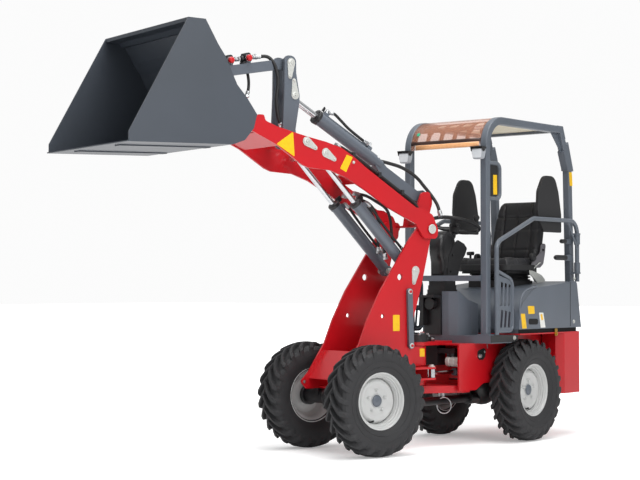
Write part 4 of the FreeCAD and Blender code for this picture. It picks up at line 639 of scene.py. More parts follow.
def back_line(v):
    z = back_low.z + 6 + v * (back_high.z - back_low.z - 12)
    foot = back_high.x - 58
    return foot - (z - back_low.z) * math.tan(BACK_LEAN), z, math.cos(BACK_LEAN), math.sin(BACK_LEAN)


def back_width(v):
    return 196 * (1 - 0.26 * max(0, v - 0.5) ** 1.6 * 2.2) * (1 if v < 0.93 else 1 - (v - 0.93) * 1.6)


def back_crown(u, v):
    bolster = 22 * math.exp(-((abs(u) - 0.8) / 0.17) ** 2) * (1 - 0.45 * v)
    return 42 + bolster - 8 * (1 - u * u) * (1 - v) + 10 * math.exp(-((v - 0.22) / 0.16) ** 2)


seat_back = piece("seat_back_pad", drawn(
    (add_pad, back_line, back_width, back_crown,
        [("z", 105, 7, 7), ("z", 345, 9, 8), ("z", 250, 5, 6), ("y", -112, 9, 7), ("y", 112, 9, 7),
        ("y", 0, 6, 6)], BACK_LENGTH)), seat_vinyl, smooth=60, stands_for=["seat_back"])


def cushion_line(v):
    x = cushion_low.x + 6 + v * (cushion_high.x - cushion_low.x - 12)
    return x, cushion_low.z + 34, 0.0, 1.0


def cushion_width(v):
    return 212 * (1 - 0.1 * (1 - v) ** 2) * (1 - 0.08 * max(0, v - 0.8) * 5)


def cushion_crown(u, v):
    bolster = 26 * math.exp(-((abs(u) - 0.84) / 0.15) ** 2) * (0.6 + 0.4 * (1 - v))
    return 46 + bolster + 10 * v * v - 8 * (1 - abs(2 * v - 1))


CUSHION_LENGTH = cushion_high.x - cushion_low.x - 12
cushion = piece("seat_cushion_pad", drawn(
    (add_pad, cushion_line, cushion_width, cushion_crown,
        [("z", 110, 8, 7), ("z", 230, 8, 7), ("y", -125, 9, 7), ("y", 125, 9, 7), ("y", 0, 6, 6)],
        CUSHION_LENGTH)), seat_vinyl, smooth=60, stands_for=["seat_cushion"])
print("seat pads", len(seat_back.data.vertices), len(cushion.data.vertices))

# %% [markdown]
# A moulded pan carries the cushion and wraps round its edge, a reclining hinge sits at each side of the
# backrest with its hand wheel, and a zinc bracket and lever show behind the pan.

# %% Chair pan and hinges
rim_outline = rounded([(cushion_low.x - 8, -218), (cushion_high.x + 4, -212), (cushion_high.x + 4, 212),
                       (cushion_low.x - 8, 218)], 60)
piece("chair_pan", drawn(
    (add_plate, rim_outline, "z", cushion_low.z - 4, cushion_low.z + 40)), black_abs, bevel=8, smooth=40)
HINGE_PLATE = [(-495, 1310), (-482, 1241), (-461, 1173), (-419, 1146), (-327, 1142), (-299, 1176), (-355, 1205),
               (-420, 1250), (-430, 1298), (-458, 1314)]
for side in (1, -1):
    end = "left" if side > 0 else "right"
    piece("chair_hinge_" + end, drawn(
        (add_plate, rounded(HINGE_PLATE, 16), "y", side * 206, side * 213)), warm_grey_abs, bevel=2)
    piece("chair_knob_" + end, drawn(
        (add_turned, [(0, 30), (20, 30), (26, 26), (27, 12), (23, 10), (23, 0)], (-300, side * 213, 1216),
            (0, side, 0), 20),
        (add_turned, [(0, 8), (10, 8), (12, 6)], (-452, side * 213, 1268), (0, side, 0), 12)), black_abs,
            bevel=1.5)
piece("chair_back_bracket", drawn(
    (add_plate, rounded([(-242, 1127), (-292, 1123), (-402, 1095), (-444, 1066), (-448, 1048), (-345, 1042),
        (-296, 1076), (-251, 1099)], 8, 3), "y", 226, 234),
    (add_plate, rounded([(-300, 1110), (-395, 1088), (-436, 1052), (-350, 1046)], 10, 3), "y", 206, 226)),
        bright_zinc, bevel=1.5)
piece("chair_lever", drawn(
    (add_pipe, [(-330, 214, 1140), (-360, 216, 1158), (-397, 218, 1178), (-412, 218, 1180)], 4.5, 10)),
        bright_zinc, smooth=60)
print("chair pan, hinges and bracket made")

# %% [markdown]
# ## Labels
# Labels are blank film, a fraction of a millimetre thick, set just proud of the plate that they sit on.
# A label is a plate with rounded corners.

# %% Labels
FILM = 0.8
HOOD_SIDE, CHASSIS_SIDE, MAST_SIDE, BOOM_SIDE = 400.0, 235.0, 185.0, 205.0
BEARING_SIDE, POST_SIDE = 60.2, 325.0
GRAB_BACK, GRAB_FACE = 297.0, 301.0
HOOD_LABELS = [("low", yellow_film, HOOD_SIDE, [(141, 839), (89, 838), (68, 741), (122, 741)]),
               ("high", yellow_film, HOOD_SIDE, [(54, 888), (-26, 888), (-34, 836), (45, 835)]),
               ("rear", white_film, HOOD_SIDE, [(-88, 843), (-142, 842), (-170, 743), (-109, 742)]),
               ("strip", yellow_film, HOOD_SIDE + FILM, [(-104, 831), (-128, 833), (-141, 793), (-117, 793)])]
FRONT_LABELS = [("mast", "front_machine", MAST_SIDE, [(288, 742), (340, 742), (340, 841), (288, 841)]),
                ("boom", "boom", BOOM_SIDE, [(711, 1812), (666, 1799), (716, 1706), (761, 1727)]),
                ("boom_triangle", "boom", BOOM_SIDE, [(1106, 1928), (1095, 1781), (1224, 1850)]),
                ("bearing", "front_machine", BEARING_SIDE, [(24, 572), (-16, 571), (-16, 622), (24, 623)])]
POST_LABEL = [(-622, 1812), (-660, 1812), (-668, 1718), (-630, 1716)]
GRAB_LABEL = [(314, 1742), (268, 1744), (266, 1616), (312, 1614)]


def label(name, face, corners, finish=yellow_film, body="rear_machine"):
    """Film on a side face, facing away from the machine's middle."""
    near, far = sorted((face, face + math.copysign(FILM, face)))
    piece("label_" + name, drawn((add_plate, rounded(corners, 4, 3), "y", near, far)), finish, body, smooth=30)


for name, finish, face, corners in HOOD_LABELS:
    label("bonnet_" + name, face, corners, finish)
for name, body, face, corners in FRONT_LABELS:
    label(name, face, corners, body=body)
for end, face in (("left", POST_SIDE), ("right", -POST_SIDE)):
    label("post_" + end, face, POST_LABEL)
piece("grab_plate", drawn(
    (add_plate, rounded([(378, 1806), (262, 1806), (256, 1790), (256, 1620), (264, 1606), (378, 1602)], 14), "y",
        GRAB_BACK, GRAB_FACE)), black_powder_coat, bevel=0.8)
label("grab", GRAB_FACE, GRAB_LABEL)
print("labels set")

# %% [markdown]
# ## Hoses and their fittings
# Hydraulic hoses are rubber over steel braid. They leave a port through a zinc plated ferrule and a hexagon
# nut, and bend in wide easy curves. A smooth line through a few points gives the curve, a swept circle gives
# the hose, and a turned profile gives the ferrule. A hose that crosses a joint rides no body and stays fixed in
# the scene.

# %% Hose helper


def add_ferrule(bm, at, along, radius):
    """Pressed sleeve and hexagon nut where a hose starts; along points away from the hose."""
    wide, narrow = radius * 1.35, radius * 1.1
    add_turned(bm, [(-26, narrow), (-24, wide), (-4, wide), (0, narrow)], at, along, 16)
    add_turned(bm, [(0, radius * 1.7), (13, radius * 1.7), (15, radius * 1.3)], at, along, 6)


def hoses(name, routes, body, radius, blend=None):
    """A bundle of hoses and their ferrules; given a blend (first body, second body, start, end), the hoses ride no
    body and stay fixed, and what blend holds is not used.
    """
    tubes, sleeves = bmesh.new(), bmesh.new()
    lines = [flowing(route, 6) for route in routes]
    for line in lines:
        add_pipe(tubes, line, radius, 12)
        add_ferrule(sleeves, line[0], line[0] - line[1], radius)
        add_ferrule(sleeves, line[-1], line[-1] - line[-2], radius)
    hose = piece(name, tubes, hose_rubber, None if blend else body, smooth=60)
    piece(name + "_ferrules", sleeves, zinc_plate, body)
    if blend:
        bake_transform(hose)
    print(name, [round(sum((b - a).length for a, b in zip(line, line[1:]))) for line in lines], "mm long")


def slanted(start, end):
    """Axes of a slanted part: x from start to end, y to the left, z across them."""
    start, end = Vector(start), Vector(end)
    way = (end - start).normalized()
    return Matrix(((way.x, 0, -way.z, start.x), (0, 1, 0, 0), (way.z, 0, way.x, start.z), (0, 0, 0, 1)))


# %% [markdown]
# The link above the boom carries two quick couplers for attachments. Each has a black body, a red seal ring,
# a red dust cap and a steel fitting. They follow the link, so their places are worked out along it.

# %% Couplers on the link
LINK = slanted((1023, 0, 2360), (1500, 0, 2270))
bodies_bm, red_bm, steel_bm = bmesh.new(), bmesh.new(), bmesh.new()
for at in (272, 400):
    add_plate(bodies_bm, rounded([(at - 19, 40), (at - 19, 84), (at - 8, 92), (at + 14, 92), (at + 20, 80),
                                  (at + 20, 40)], 5, 3), "y", -27, 27)
    add_turned(bodies_bm, [(0, 14), (6, 17), (20, 17), (24, 12)], (at + 18, 0, 62), AHEAD, 24)
    add_plate(bodies_bm, [(at + 16, 30), (at + 40, 30), (at + 40, 42), (at + 16, 46)], "y", -20, 20)
    add_turned(red_bm, [(0, 18), (8, 18)], (at - 27, 0, 63), AHEAD, 28)
    add_turned(red_bm, [(0, 15), (4, 19), (15, 19), (20, 13), (21, 0)], (at + 2, 28, 60), LEFT, 28)
    add_turned(steel_bm, [(0, 11), (14, 11), (15, 15), (27, 15), (28, 11), (46, 11)], (at - 73, 0, 63), AHEAD, 6)
    add_turned(steel_bm, [(0, 21), (4, 21)], (at + 2, 25, 60), LEFT, 28)
    for y in (-16, 16):
        add_bolt(bodies_bm, (at - 6, y, 42), UP, 8, 4)
piece("coupler_bodies", bodies_bm, black_abs, "tilt_link", FRONT @ LINK, bevel=1.5)
piece("coupler_rings", red_bm, red_abs, "tilt_link", FRONT @ LINK, bevel=1.0)
piece("coupler_fittings", steel_bm, zinc_plate, "tilt_link", FRONT @ LINK, bevel=0.6)

# %% Hoses at the link
hoses("coupler_hose_long", [
    on(LINK, [(198, 0, 63)]) + [(1158, 8, 2390), (1122, 24, 2354), (1103, 36, 2285), (1100, 37, 2225),
        (1108, 37, 2160), (1110, 37, 2110), (1102, 36, 2050), (1088, 36, 2005), (1072, 35, 1972)]], "tilt_link",
        10.5, blend=("tilt_link", "tilt_lever", (1120, 14, 2350), (1103, 22, 2250)))
hoses("coupler_hose_short", [
    on(LINK, [(326, 0, 63), (308, -16, 62)]) + [(1285, -36, 2325), (1268, -37, 2285), (1262, -34, 2235),
        (1266, -32, 2190), (1276, -31, 2155)]], "tilt_link", 9.0)

# %% [markdown]
# The tilt cylinder is a welded tube: a black gland nut at the rod end, a grease nipple, two ports and the
# black rod wiper. Details sit on the CAD barrel and turn with it.

# %% Tilt cylinder details
TILT = slanted((-48, 0, 1588), (994, 0, 2167))
GLAND_BOLT = 37 * math.sqrt(0.5)
gland, steel_bm = bmesh.new(), bmesh.new()
add_ring(gland, [(944, 45), (962, 47), (966, 45), (972, 30), (972, 21.2), (944, 21.2)], ORIGIN, AHEAD, 40)
for y in (-GLAND_BOLT, GLAND_BOLT):
    for z in (-GLAND_BOLT, GLAND_BOLT):
        add_turned(gland, [(0, 7), (10, 7)], (962, y, z), AHEAD, 6)
add_plate(gland, [(925, 57), (925, 82), (937, 88), (943, 57)], "y", -5, 5)
for x in (907, 524):
    add_turned(steel_bm, [(0, 12), (14, 12), (15, 8), (30, 8)], (x, 0, 55), UP, 6)
add_turned(steel_bm, [(0, 4), (8, 4), (10, 6), (14, 3)], (420, 0, 26), UP, 8)
piece("tilt_gland", gland, black_powder_coat, "tilt_barrel", FRONT @ TILT, bevel=0.8)
piece("tilt_fittings", steel_bm, zinc_plate, "tilt_barrel", FRONT @ TILT, bevel=0.6)
hoses("tilt_head_hose", [
    on(TILT, [(884, 0, 76), (850, 3, 88), (790, 6, 78), (720, 8, 66), (640, 9, 62), (560, 9, 61)])],
        "tilt_barrel", 9.0)
hoses("tilt_base_hose", [
    [(372, 0, 1822), (330, 0, 1812), (242, 6, 1797), (148, 16, 1776), (75, 26, 1744), (16, 33, 1705),
        (-28, 40, 1660), (-72, 60, 1602), (-98, 90, 1540), (-100, 118, 1475)]], "tilt_barrel", 11.0,
        blend=("front_machine", "tilt_barrel", (-98, 90, 1540), (75, 26, 1744)))

# %% [markdown]
# The lift cylinders have the same heads, with a hose along each barrel. Behind the mast a bundle loops
# from the mast to the boom, and two more run on along the boom. Both bundles ride no body and stay fixed in the
# scene; only their ferrules ride the boom.

# %% Lift cylinder details
LIFT = slanted((160, 0, 1115), (868, 0, 1816))
LIFT_SIDE = 110
gland, steel_bm = bmesh.new(), bmesh.new()
for y in (-LIFT_SIDE, LIFT_SIDE):
    add_ring(gland, [(572, 38), (588, 39), (592, 37), (596, 26), (596, 18.2), (572, 18.2)], (0, y, 0), AHEAD, 36)
    add_plate(gland, rounded([(566, 30), (566, 64), (596, 74), (602, 34)], 4, 3), "y", y - 8, y + 8)
    add_turned(steel_bm, [(0, 11), (12, 11), (13, 7), (24, 7)], (533, y, 48), UP, 6)
    add_turned(steel_bm, [(0, 11), (12, 11), (13, 7), (20, 7)], (96, y, 48), UP, 6)
piece("lift_glands", gland, black_powder_coat, "lift_barrels", FRONT @ LIFT, bevel=0.8)
piece("lift_fittings", steel_bm, zinc_plate, "lift_barrels", FRONT @ LIFT, bevel=0.6)
hoses("lift_hoses", [
    on(LIFT, [(518, y, 66), (490, y + 3, 70), (420, y + 8, 63), (330, y + 10, 58), (220, y + 8, 58),
        (120, y + 2, 64)]) for y in (-LIFT_SIDE, LIFT_SIDE)], "lift_barrels", 8.5)

# %% Hose bundles on the boom and behind the mast
hoses("boom_hoses", [
    [(760, 172, 1868), (714, 172, 1853), (619, 172, 1808), (495, 172, 1738), (356, 171, 1658), (249, 170, 1596),
        (178, 170, 1554), (130, 168, 1512), (98, 150, 1452)],
    [(748, 148, 1862), (700, 150, 1846), (600, 150, 1798), (480, 150, 1729), (340, 150, 1649), (236, 148, 1588),
        (160, 146, 1545), (112, 142, 1500), (84, 128, 1440)]], "boom", 9.0,
        blend=("front_machine", "boom", (98, 150, 1452), (249, 170, 1596)))
clips = bmesh.new()
for x, z in ((640, 1818), (440, 1706), (260, 1603)):
    add_block(clips, x - 11, x + 11, 134, 189, z - 16, z + 14)
piece("hose_clips", clips, black_abs, "boom", bevel=3)
hoses("mast_loops", [
    [(536, 60, 1590), (452, 61, 1578), (375, 61, 1546), (297, 60, 1505), (262, 60, 1440), (250, 60, 1350),
        (240, 60, 1240)],
    [(530, -60, 1580), (440, -60, 1560), (350, -60, 1515), (300, -60, 1450), (270, -60, 1360), (262, -60, 1240)],
    [(520, 60, 1560), (430, 60, 1530), (372, 60, 1466), (344, 60, 1380), (320, 60, 1290), (300, 60, 1200)]],
        "boom", 9.5, blend=("front_machine", "boom", (262, 56, 1380), (375, 62, 1530)))

# %% [markdown]
# ## Pins and their keeper sheets
# A bright zinc sheet with two bolts keeps each pin from turning. The CAD has the sheets; the pin's own end
# face, its grease nipple and the bolt at the narrow end are small turned pieces on top of them.

# %% Pin ends and keeper bolts
CAP_TOP = 3.5


def keeper(bm, pin, tail, face, side):
    """Pin end with a grease nipple and the bolt of one keeper sheet; face is the sheet's outer face."""
    (x, z), (tx, tz) = pin, tail
    y = side * face
    add_turned(bm, [(-1, 19), (1.2, 19), (2.2, 17.5), (2.2, 7), (1.2, 6), (1.2, 0)], (x, y, z), (0, side, 0), 36)
    add_turned(bm, [(1, 5), (4, 5), (6, 3), (8, 3)], (x, y, z), (0, side, 0), 12)
    add_bolt(bm, (tx, y, tz), (0, side, 0), 12, 6)


LEVER_PIN, LIFT_PIN, TILT_PIN = (1008, 1877), (868, 1816), (994, 2167)
LINK_PIN, LIFT_BASE = (1023, 2360), (160, 1115)
LEVER_SIDE, BEARING_CAP_SIDE = 65.0, 213.0
REACH = 74.0
caps = {"boom": bmesh.new(), "tilt_lever": bmesh.new(), "front_machine": bmesh.new()}
for side in (1, -1):
    for pin in (LEVER_PIN, LIFT_PIN):
        keeper(caps["boom"], pin, (pin[0] - REACH * 0.87, pin[1] - REACH * 0.49), BOOM_SIDE + CAP_TOP, side)
    for pin, way in ((LINK_PIN, -1), (TILT_PIN, 1)):
        keeper(caps["tilt_lever"], pin, (pin[0] + 8, pin[1] + way * (REACH + 12)), LEVER_SIDE + CAP_TOP, side)
    keeper(caps["front_machine"], LIFT_BASE, (LIFT_BASE[0] + 14, LIFT_BASE[1] - REACH), MAST_SIDE + CAP_TOP, side)
    add_turned(caps["front_machine"], [(0, 30), (2, 30), (4, 27), (4, 22), (3, 21), (3, 0)],
               (46, side * BEARING_CAP_SIDE, 1377), (0, side, 0), 40)
    add_bolt(caps["boom"], (659, side * BOOM_SIDE, 1768), (0, side, 0), 13, 7)
for body, bm in caps.items():
    piece("pin_ends_" + body, bm, bright_zinc, body, bevel=0.4)
for name in ("boom_caps", "lever_pins", "mast_pins"):
    finish_node(name, bright_zinc)
print("keepers on", ", ".join(caps))

# %% [markdown]
# The flat prop bar on the mast is slate grey, not zinc, and it hangs on two red pins. Its own sheet of
# mesh lies in the same node as the mast's pins, so a thin cover plate in paint is laid over the bar.

# %% Safety prop
PROP_AT, PROP_FOOT_AT = (218, 985), (206, 650)
PROP_HALF = 20
bar = []
for (x, z), way, lift in ((PROP_AT, -1, 1), (PROP_FOOT_AT, -1, -1), (PROP_FOOT_AT, 1, -1), (PROP_AT, 1, 1)):
    bar.append((x + way * PROP_HALF, z + lift * PROP_HALF))
piece("prop_cover", drawn(
    (add_plate, rounded(bar, PROP_HALF - 0.5, 8), "y", MAST_SIDE + 2, MAST_SIDE + 20)), slate_powder_coat,
        "front_machine", bevel=1.2)
bm = bmesh.new()
ring = bmesh.new()
for x, z in (PROP_AT, PROP_FOOT_AT):
    add_turned(bm, [(18, 9), (28, 9), (31, 6)], (x, MAST_SIDE, z), LEFT, 20)
    add_turned(ring, [(19, 16), (21.5, 16), (22, 15), (22, 9)], (x, MAST_SIDE, z), LEFT, 28)
piece("prop_pins", bm, red_powder_coat, "front_machine", bevel=0.6)
piece("prop_washers", ring, bright_zinc, "front_machine")

# %% [markdown]
# ## Roof and screen
# The roof skin is one moulded sheet, umber outside and cream inside, that bends down over the front. The
# bend has ten windows in two rows, with bars between them, and a smoked screen covers it. A grid of faces
# with the windows left out, thickened by a modifier, makes such a sheet with real edges.

# %% Roof skin with windows
BEND_R = 175.0
roof_low, roof_high = on(REAR.inverted(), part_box("roof_panel"))
screen_front = on(REAR.inverted(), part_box("visor"))[1].x
BEND_AT = (screen_front - BEND_R - 22, 1925.0)
HALF = roof_high.y
WINDOWS = 5


def on_bend(radius, degrees):
    a = math.radians(degrees)
    return BEND_AT[0] + radius * math.cos(a), BEND_AT[1] + radius * math.sin(a)


def sheet(name, lines, ys, finish, thickness, smooth=60, skip=(), inside=None, stands_for=()):
    """Sheet through profile points (x, z) at each y, thickened both ways; skip holds (row, column) cells."""
    bm = bmesh.new()
    grid = [[bm.verts.new((x, y, z)) for y in ys] for x, z in lines]
    for i in range(len(lines) - 1):
        for j in range(len(ys) - 1):
            if (i, j) not in skip:
                bm.faces.new((grid[i][j], grid[i][j + 1], grid[i + 1][j + 1], grid[i + 1][j]))
    made = piece(name, bm, finish, smooth=smooth, stands_for=stands_for)
    solid = made.modifiers.new("thickness", "SOLIDIFY")
    solid.thickness = thickness * MM
    solid.offset = 0.0
    if inside:
        made.data.materials.append(inside)
        solid.material_offset = 1


MARGIN = 14
pitch = 2 * (HALF - MARGIN) / WINDOWS
columns = [-HALF]
for k in range(WINDOWS):
    start = -HALF + MARGIN + k * pitch
    columns += [start + 15, start + 22, start + pitch - 22, start + pitch - 15]
columns.append(HALF)
angles = [12, 16, 19, 24, 30, 36, 41, 44, 50, 54, 57, 62, 68, 73, 76, 82, 90]
flat_part = [(x, BEND_AT[1] + BEND_R) for x in (120, 0, -150, -300, roof_low.x)]
profile = [on_bend(BEND_R, a) for a in angles] + flat_part
holes = set()
for k in range(WINDOWS):
    c = 1 + 4 * k
    for low_row, high_row in ((1, 6), (9, 13)):
        for i in range(low_row, high_row):
            holes.add((i, c + 1))
            if low_row < i < high_row - 1:
                holes.update(((i, c), (i, c + 2)))
sheet("roof_skin", profile, columns, umber_liner, 6, 50, holes, cream_liner, ["roof_panel"])
print("roof skin with", WINDOWS * 2, "windows")

# %% Smoked screen and its strips
SCREEN_R, STRIP_R = 195.0, 198.5
DOT_DEGREES = 32
turns = [-1, 4, 10, 16, 22, 30, 38, 46, 54, 62, 70, 78, 86, 95]
ys = [-HALF + 0.3, -160, -60, 60, 160, HALF - 0.3]
sheet("smoked_screen", [on_bend(SCREEN_R, a) for a in turns], ys, smoked_sheet, 4, stands_for=["visor"])
sheet("screen_dark_strip", [on_bend(STRIP_R, a) for a in (9, 11, 13, 15.5)], ys, burnt_umber, 2)
sheet("screen_low_strip", [on_bend(STRIP_R, a) for a in (-0.5, 3, 6, 8.6)], [-HALF + 40, -100, 100, HALF - 8],
      amber_film, 1.5)
x, z = on_bend(SCREEN_R + 2.5, DOT_DEGREES)
way = Matrix.Rotation(math.radians(-DOT_DEGREES), 3, "Y") @ Vector(AHEAD)
piece("screen_dot", drawn((add_turned, [(0, 13), (1, 13), (1.2, 12)], (x, -HALF + 42, z), way, 20)), green_film)
print("screen and strips set")

# %% [markdown]
# ## Steering column and wheel
# The rim of the steering wheel is a soft grip moulded over a steel core, and its three spokes are broad
# pressed strips that sag towards the hub. A ball knob on the rim serves for one-handed turning.

# %% Steering wheel
WHEEL_AT, WHEEL_TILT, WHEEL_RING = (198, -75, 1428), 17.0, 162.0
WHEEL = Matrix.Translation(WHEEL_AT) @ Matrix.Rotation(math.radians(-WHEEL_TILT), 4, "Y")
bm = bmesh.new()
section = [(13 * math.sin(a), WHEEL_RING + 12 * math.cos(a)) for a in circle(14)]
add_ring(bm, section, ORIGIN, UP, 96)
add_turned(bm, [(-62, 20), (-58, 30), (-22, 34), (-10, 40), (2, 38), (6, 30), (7, 0)], ORIGIN, UP, 32)
SPOKE = [(24, -20), (90, -15), (WHEEL_RING, -24), (WHEEL_RING, 24), (90, 15), (24, 20)]
SPOKE_SAG = 18.2
for a in circle(3):
    turn = Matrix.Rotation(a + 0.5, 4, "Z")
    for vert in add_plate(bm, SPOKE, "z", -8, 0):
        vert.co.z -= SPOKE_SAG * (1 - (vert.co.xy.length / WHEEL_RING) ** 2)
        vert.co = turn @ vert.co
add_turned(bm, [(8, 8), (24, 7), (30, 16), (42, 22), (54, 22), (64, 15), (68, 0)], (0, WHEEL_RING - 2, 0), UP, 20)
piece("steering_wheel_grip", bm, black_abs, place=REAR @ WHEEL, bevel=1.2, stands_for=["steering_wheel"])

# %% [markdown]
# ## Small parts of the rear half
# Hinge sleeves on the side gate and a latch behind it; the handle, catch and panel line of the bonnet, with
# painted shade in the handle's recess; a hydraulic filter and its fittings at the frame's opening, with
# painted shade in its guard hole; and bolts at the pivot.

# %% Gate hinges and latch
bm = bmesh.new()
for z in (1345, 1145):
    add_turned(bm, [(-38, 15.2), (-37, 21), (37, 21), (38, 15.2)], (-662, 362, z), UP, 24)
piece("gate_sleeves", bm, slate_powder_coat, "gate", bevel=0.8)
piece("rear_latch", drawn(
    (add_turned, [(0, 18), (112, 18), (130, 17), (146, 10), (147, 0)], (-560, 330, 1215), AHEAD, 20),
    (add_turned, [(0, 15), (52, 15), (60, 11), (60, 0)], (-556, 330, 1328), AHEAD, 20)), black_abs, bevel=1)
piece("latch_arms", drawn(
    (add_plate, [(-650, 1192), (-552, 1196), (-552, 1234), (-650, 1238)], "y", 322, 338),
    (add_plate, [(-650, 1310), (-548, 1314), (-548, 1342), (-650, 1346)], "y", 322, 338)), slate_powder_coat,
        bevel=1)
print("gate dressed")

# %% Bonnet handle with painted recess shade, catch, bead and line
HANDLE_FACE = HOOD_SIDE + 1.2
piece("bonnet_handle_frame", drawn(
    (add_plate, rounded([(62, 818), (-88, 816), (-88, 750), (62, 752)], 22), "y", HOOD_SIDE - 3, HANDLE_FACE)),
        slate_powder_coat, bevel=1.5)
# The black film inside the handle frame is painted shade that stands for the dark recess of the handle.
piece("bonnet_handle", drawn(
    (add_plate, rounded([(46, 805), (-74, 803), (-74, 764), (46, 766)], 16), "y", HANDLE_FACE,
        HANDLE_FACE + FILM)), pit_black, bevel=0.3)
bead = [(150, 800), (154, 880), (138, 938), (100, 976), (40, 1002), (-60, 1018)]
piece("bonnet_bead", drawn(
    (add_pipe, flowing([(x, HOOD_SIDE, z) for x, z in bead], 10), 5.0, 10)), slate_powder_coat, smooth=60)
piece("bonnet_line", drawn(
    (add_plate, [(-499, 1046), (-505, 1046), (-503, 744), (-497, 744)], "y", HOOD_SIDE - 0.4, HOOD_SIDE + 0.5)),
        pit_black)
piece("bonnet_bolt", drawn(
    (add_turned, [(0, 13), (2, 13), (4, 9), (7, 9), (8, 0)], (-545, HOOD_SIDE, 776), LEFT, 24)), bright_zinc)
piece("bonnet_catch", drawn(
    (add_plate, rounded([(-288, 733), (-322, 733), (-320, 684), (-290, 684)], 6), "y", HOOD_SIDE, HOOD_SIDE + 4),
    (add_turned, [(0, 8), (8, 8), (10, 5)], (-305, HOOD_SIDE + 4, 698), LEFT, 16)), brass_fitting, bevel=0.6)
print("bonnet dressed")

# %% Frame opening: can, filter, painted shade in the guard hole
piece("filter_can", drawn(
    (add_turned, [(0, 0), (0, 27), (3, 32), (24, 32), (27, 28), (33, 28), (36, 32), (60, 32), (63, 28), (69, 28),
        (72, 32), (96, 32), (98, 26), (98, 0)], (560, 206, 535), (0, -1, 0), 36)), bright_zinc)
# A black plate on the frame's side paints the shade inside the guard hole.
piece("frame_hole_painted_shade", drawn(
    (add_plate, rounded([(404, 600), (404, 556), (384, 542), (340, 540), (312, 560), (306, 606), (330, 616)], 16),
        "y", CHASSIS_SIDE - 1, CHASSIS_SIDE + 1)), pit_black)
piece("frame_fittings", drawn(
    (add_turned, [(0, 15), (6, 15), (8, 11), (16, 11), (18, 7), (18, 0)], (382, CHASSIS_SIDE + 1, 567), LEFT, 20),
    (add_turned, [(0, 8), (5, 8), (7, 5)], (322, CHASSIS_SIDE + 1, 592), LEFT, 16),
    (add_plate, [(296, 640), (286, 612), (280, 612), (288, 640)], "y", CHASSIS_SIDE, CHASSIS_SIDE + 3)),
        zinc_plate)
print("frame opening dressed")

# %% Bolts and pins at the pivot
finish_node("pivot_fittings", grey_iron)
bm = bmesh.new()
for at in ((796, 52, 709), (812, -10, 709), (700, 50, 709), (780, -54, 709), (660, 30, 695), (650, -30, 695)):
    add_bolt(bm, at, UP, 15, 9)
add_turned(bm, [(0, 9), (12, 9), (14, 6), (20, 6)], (668, 58, 680), (-0.3, 1, 0), 16)
piece("pivot_bolts", bm, zinc_plate)
piece("pivot_foot", drawn(
    (add_turned, [(0, 24), (40, 24), (42, 18), (50, 18)], (465, 0, 348), (0, 0, -1), 24)), zinc_plate, bevel=0.6)
piece("steer_pin_head", drawn(
    (add_turned, [(0, 22), (5, 22), (7, 14), (14, 14), (16, 0)], (-20, 125, 508), UP, 28)), bright_zinc,
        "front_machine")
print("pivot dressed")

# %% [markdown]
# ## More of the rear half
# The rubber bellows under the chair folds as the chair springs, so it is a stack of soft ridges. The step
# plate is a thin strip over its CAD solid, and thin black strips over the CAD solids paint the shade in the
# gap under the bonnet.

# %% Bellows, step plate and painted shade under the bonnet


def folds(bm, x0, x1, y, z0, z1, count, depth):
    """Rounded rectangular bellows: rings of points whose size swings in and out."""
    rings = []
    steps = count * 6
    for i in range(steps + 1):
        k = i / steps
        inset = depth * (0.5 + 0.5 * math.cos(2 * math.pi * k * count))
        low, high, half = x0 + inset, x1 - inset, y - inset
        loop = rounded([(low, -half), (high, -half), (high, half), (low, half)], 34, 4)
        rings.append([bm.verts.new((px, py, z0 + k * (z1 - z0))) for px, py in loop])
    add_skin(bm, rings)


bm = bmesh.new()
folds(bm, -398, -82, 160, 1052, 1108, 3, 12)
piece("chair_bellows", bm, hose_rubber, slot_name="black_plastic", smooth=70)
piece("step_plate", drawn(
    (add_plate, rounded([(440, 702), (112, 702), (120, 662), (150, 656), (440, 656)], 6), "y", 360, 363)),
        black_powder_coat, bevel=0.8)
piece("side_bolts", drawn(
    (add_bolt, (161, 363, 681), LEFT, 20, 8),
    (add_bolt, (-588, 380, 1071), LEFT, 16, 7)), bright_zinc)
# A black strip on each side paints the shade in the gap under the bonnet's edge.
bm = bmesh.new()
for side in (1, -1):
    add_plate(bm, [(-606, 709), (138, 709), (138, 735), (-606, 735)], "y", side * 380.2, side * 384)
piece("bonnet_foot_painted_shade", bm, pit_black)
ring_at, ring_way = Vector((501, 40, 246)), Vector((-0.63, 0.776, 0))
turns = circle(40) + [2 * math.pi]
ring_line = [ring_at + ring_way * 46 * math.cos(a) + Vector(UP) * 52 * math.sin(a) for a in turns]
piece("lashing_ring", drawn((add_pipe, ring_line, 3.5, 8)), zinc_plate, smooth=60)
print("bellows, step plate and bonnet foot made")

# %% [markdown]
# A work lamp has a die-cast housing in light grey, a lens behind a thin bezel, and a black sun hood that
# tips forward. It replaces the CAD lamps, which are plain boxes of the same size.

# %% Work lamps
lamp_shells, lamp_hoods, lamp_lenses = bmesh.new(), bmesh.new(), bmesh.new()
for side in (1, -1):
    y = side * 290
    rows = []
    for x, z, half in ((452, 1836, 26), (447, 1842, 33), (444, 1880, 41), (446, 1904, 42)):
        corners = ((x, y - half, z), (486, y - half, z), (486, y + half, z), (x, y + half, z))
        rows.append([lamp_shells.verts.new(corner) for corner in corners])
    add_skin(lamp_shells, rows)
    add_block(lamp_shells, 429, 452, y - 12, y + 12, 1862, 1882)
    add_plate(lamp_lenses, rounded([(y - 30, 1844), (y + 30, 1844), (y + 38, 1898), (y - 38, 1898)], 9), "x",
              485.5, 489)
    add_plate(lamp_hoods, rounded([(442, 1906), (498, 1913), (500, 1919), (442, 1914)], 2.5, 2), "y", y - 45,
              y + 45)
    for end in (y - 45, y + 42):
        add_plate(lamp_hoods, [(446, 1908), (498, 1914), (488, 1888), (470, 1884)], "y", end, end + 3)
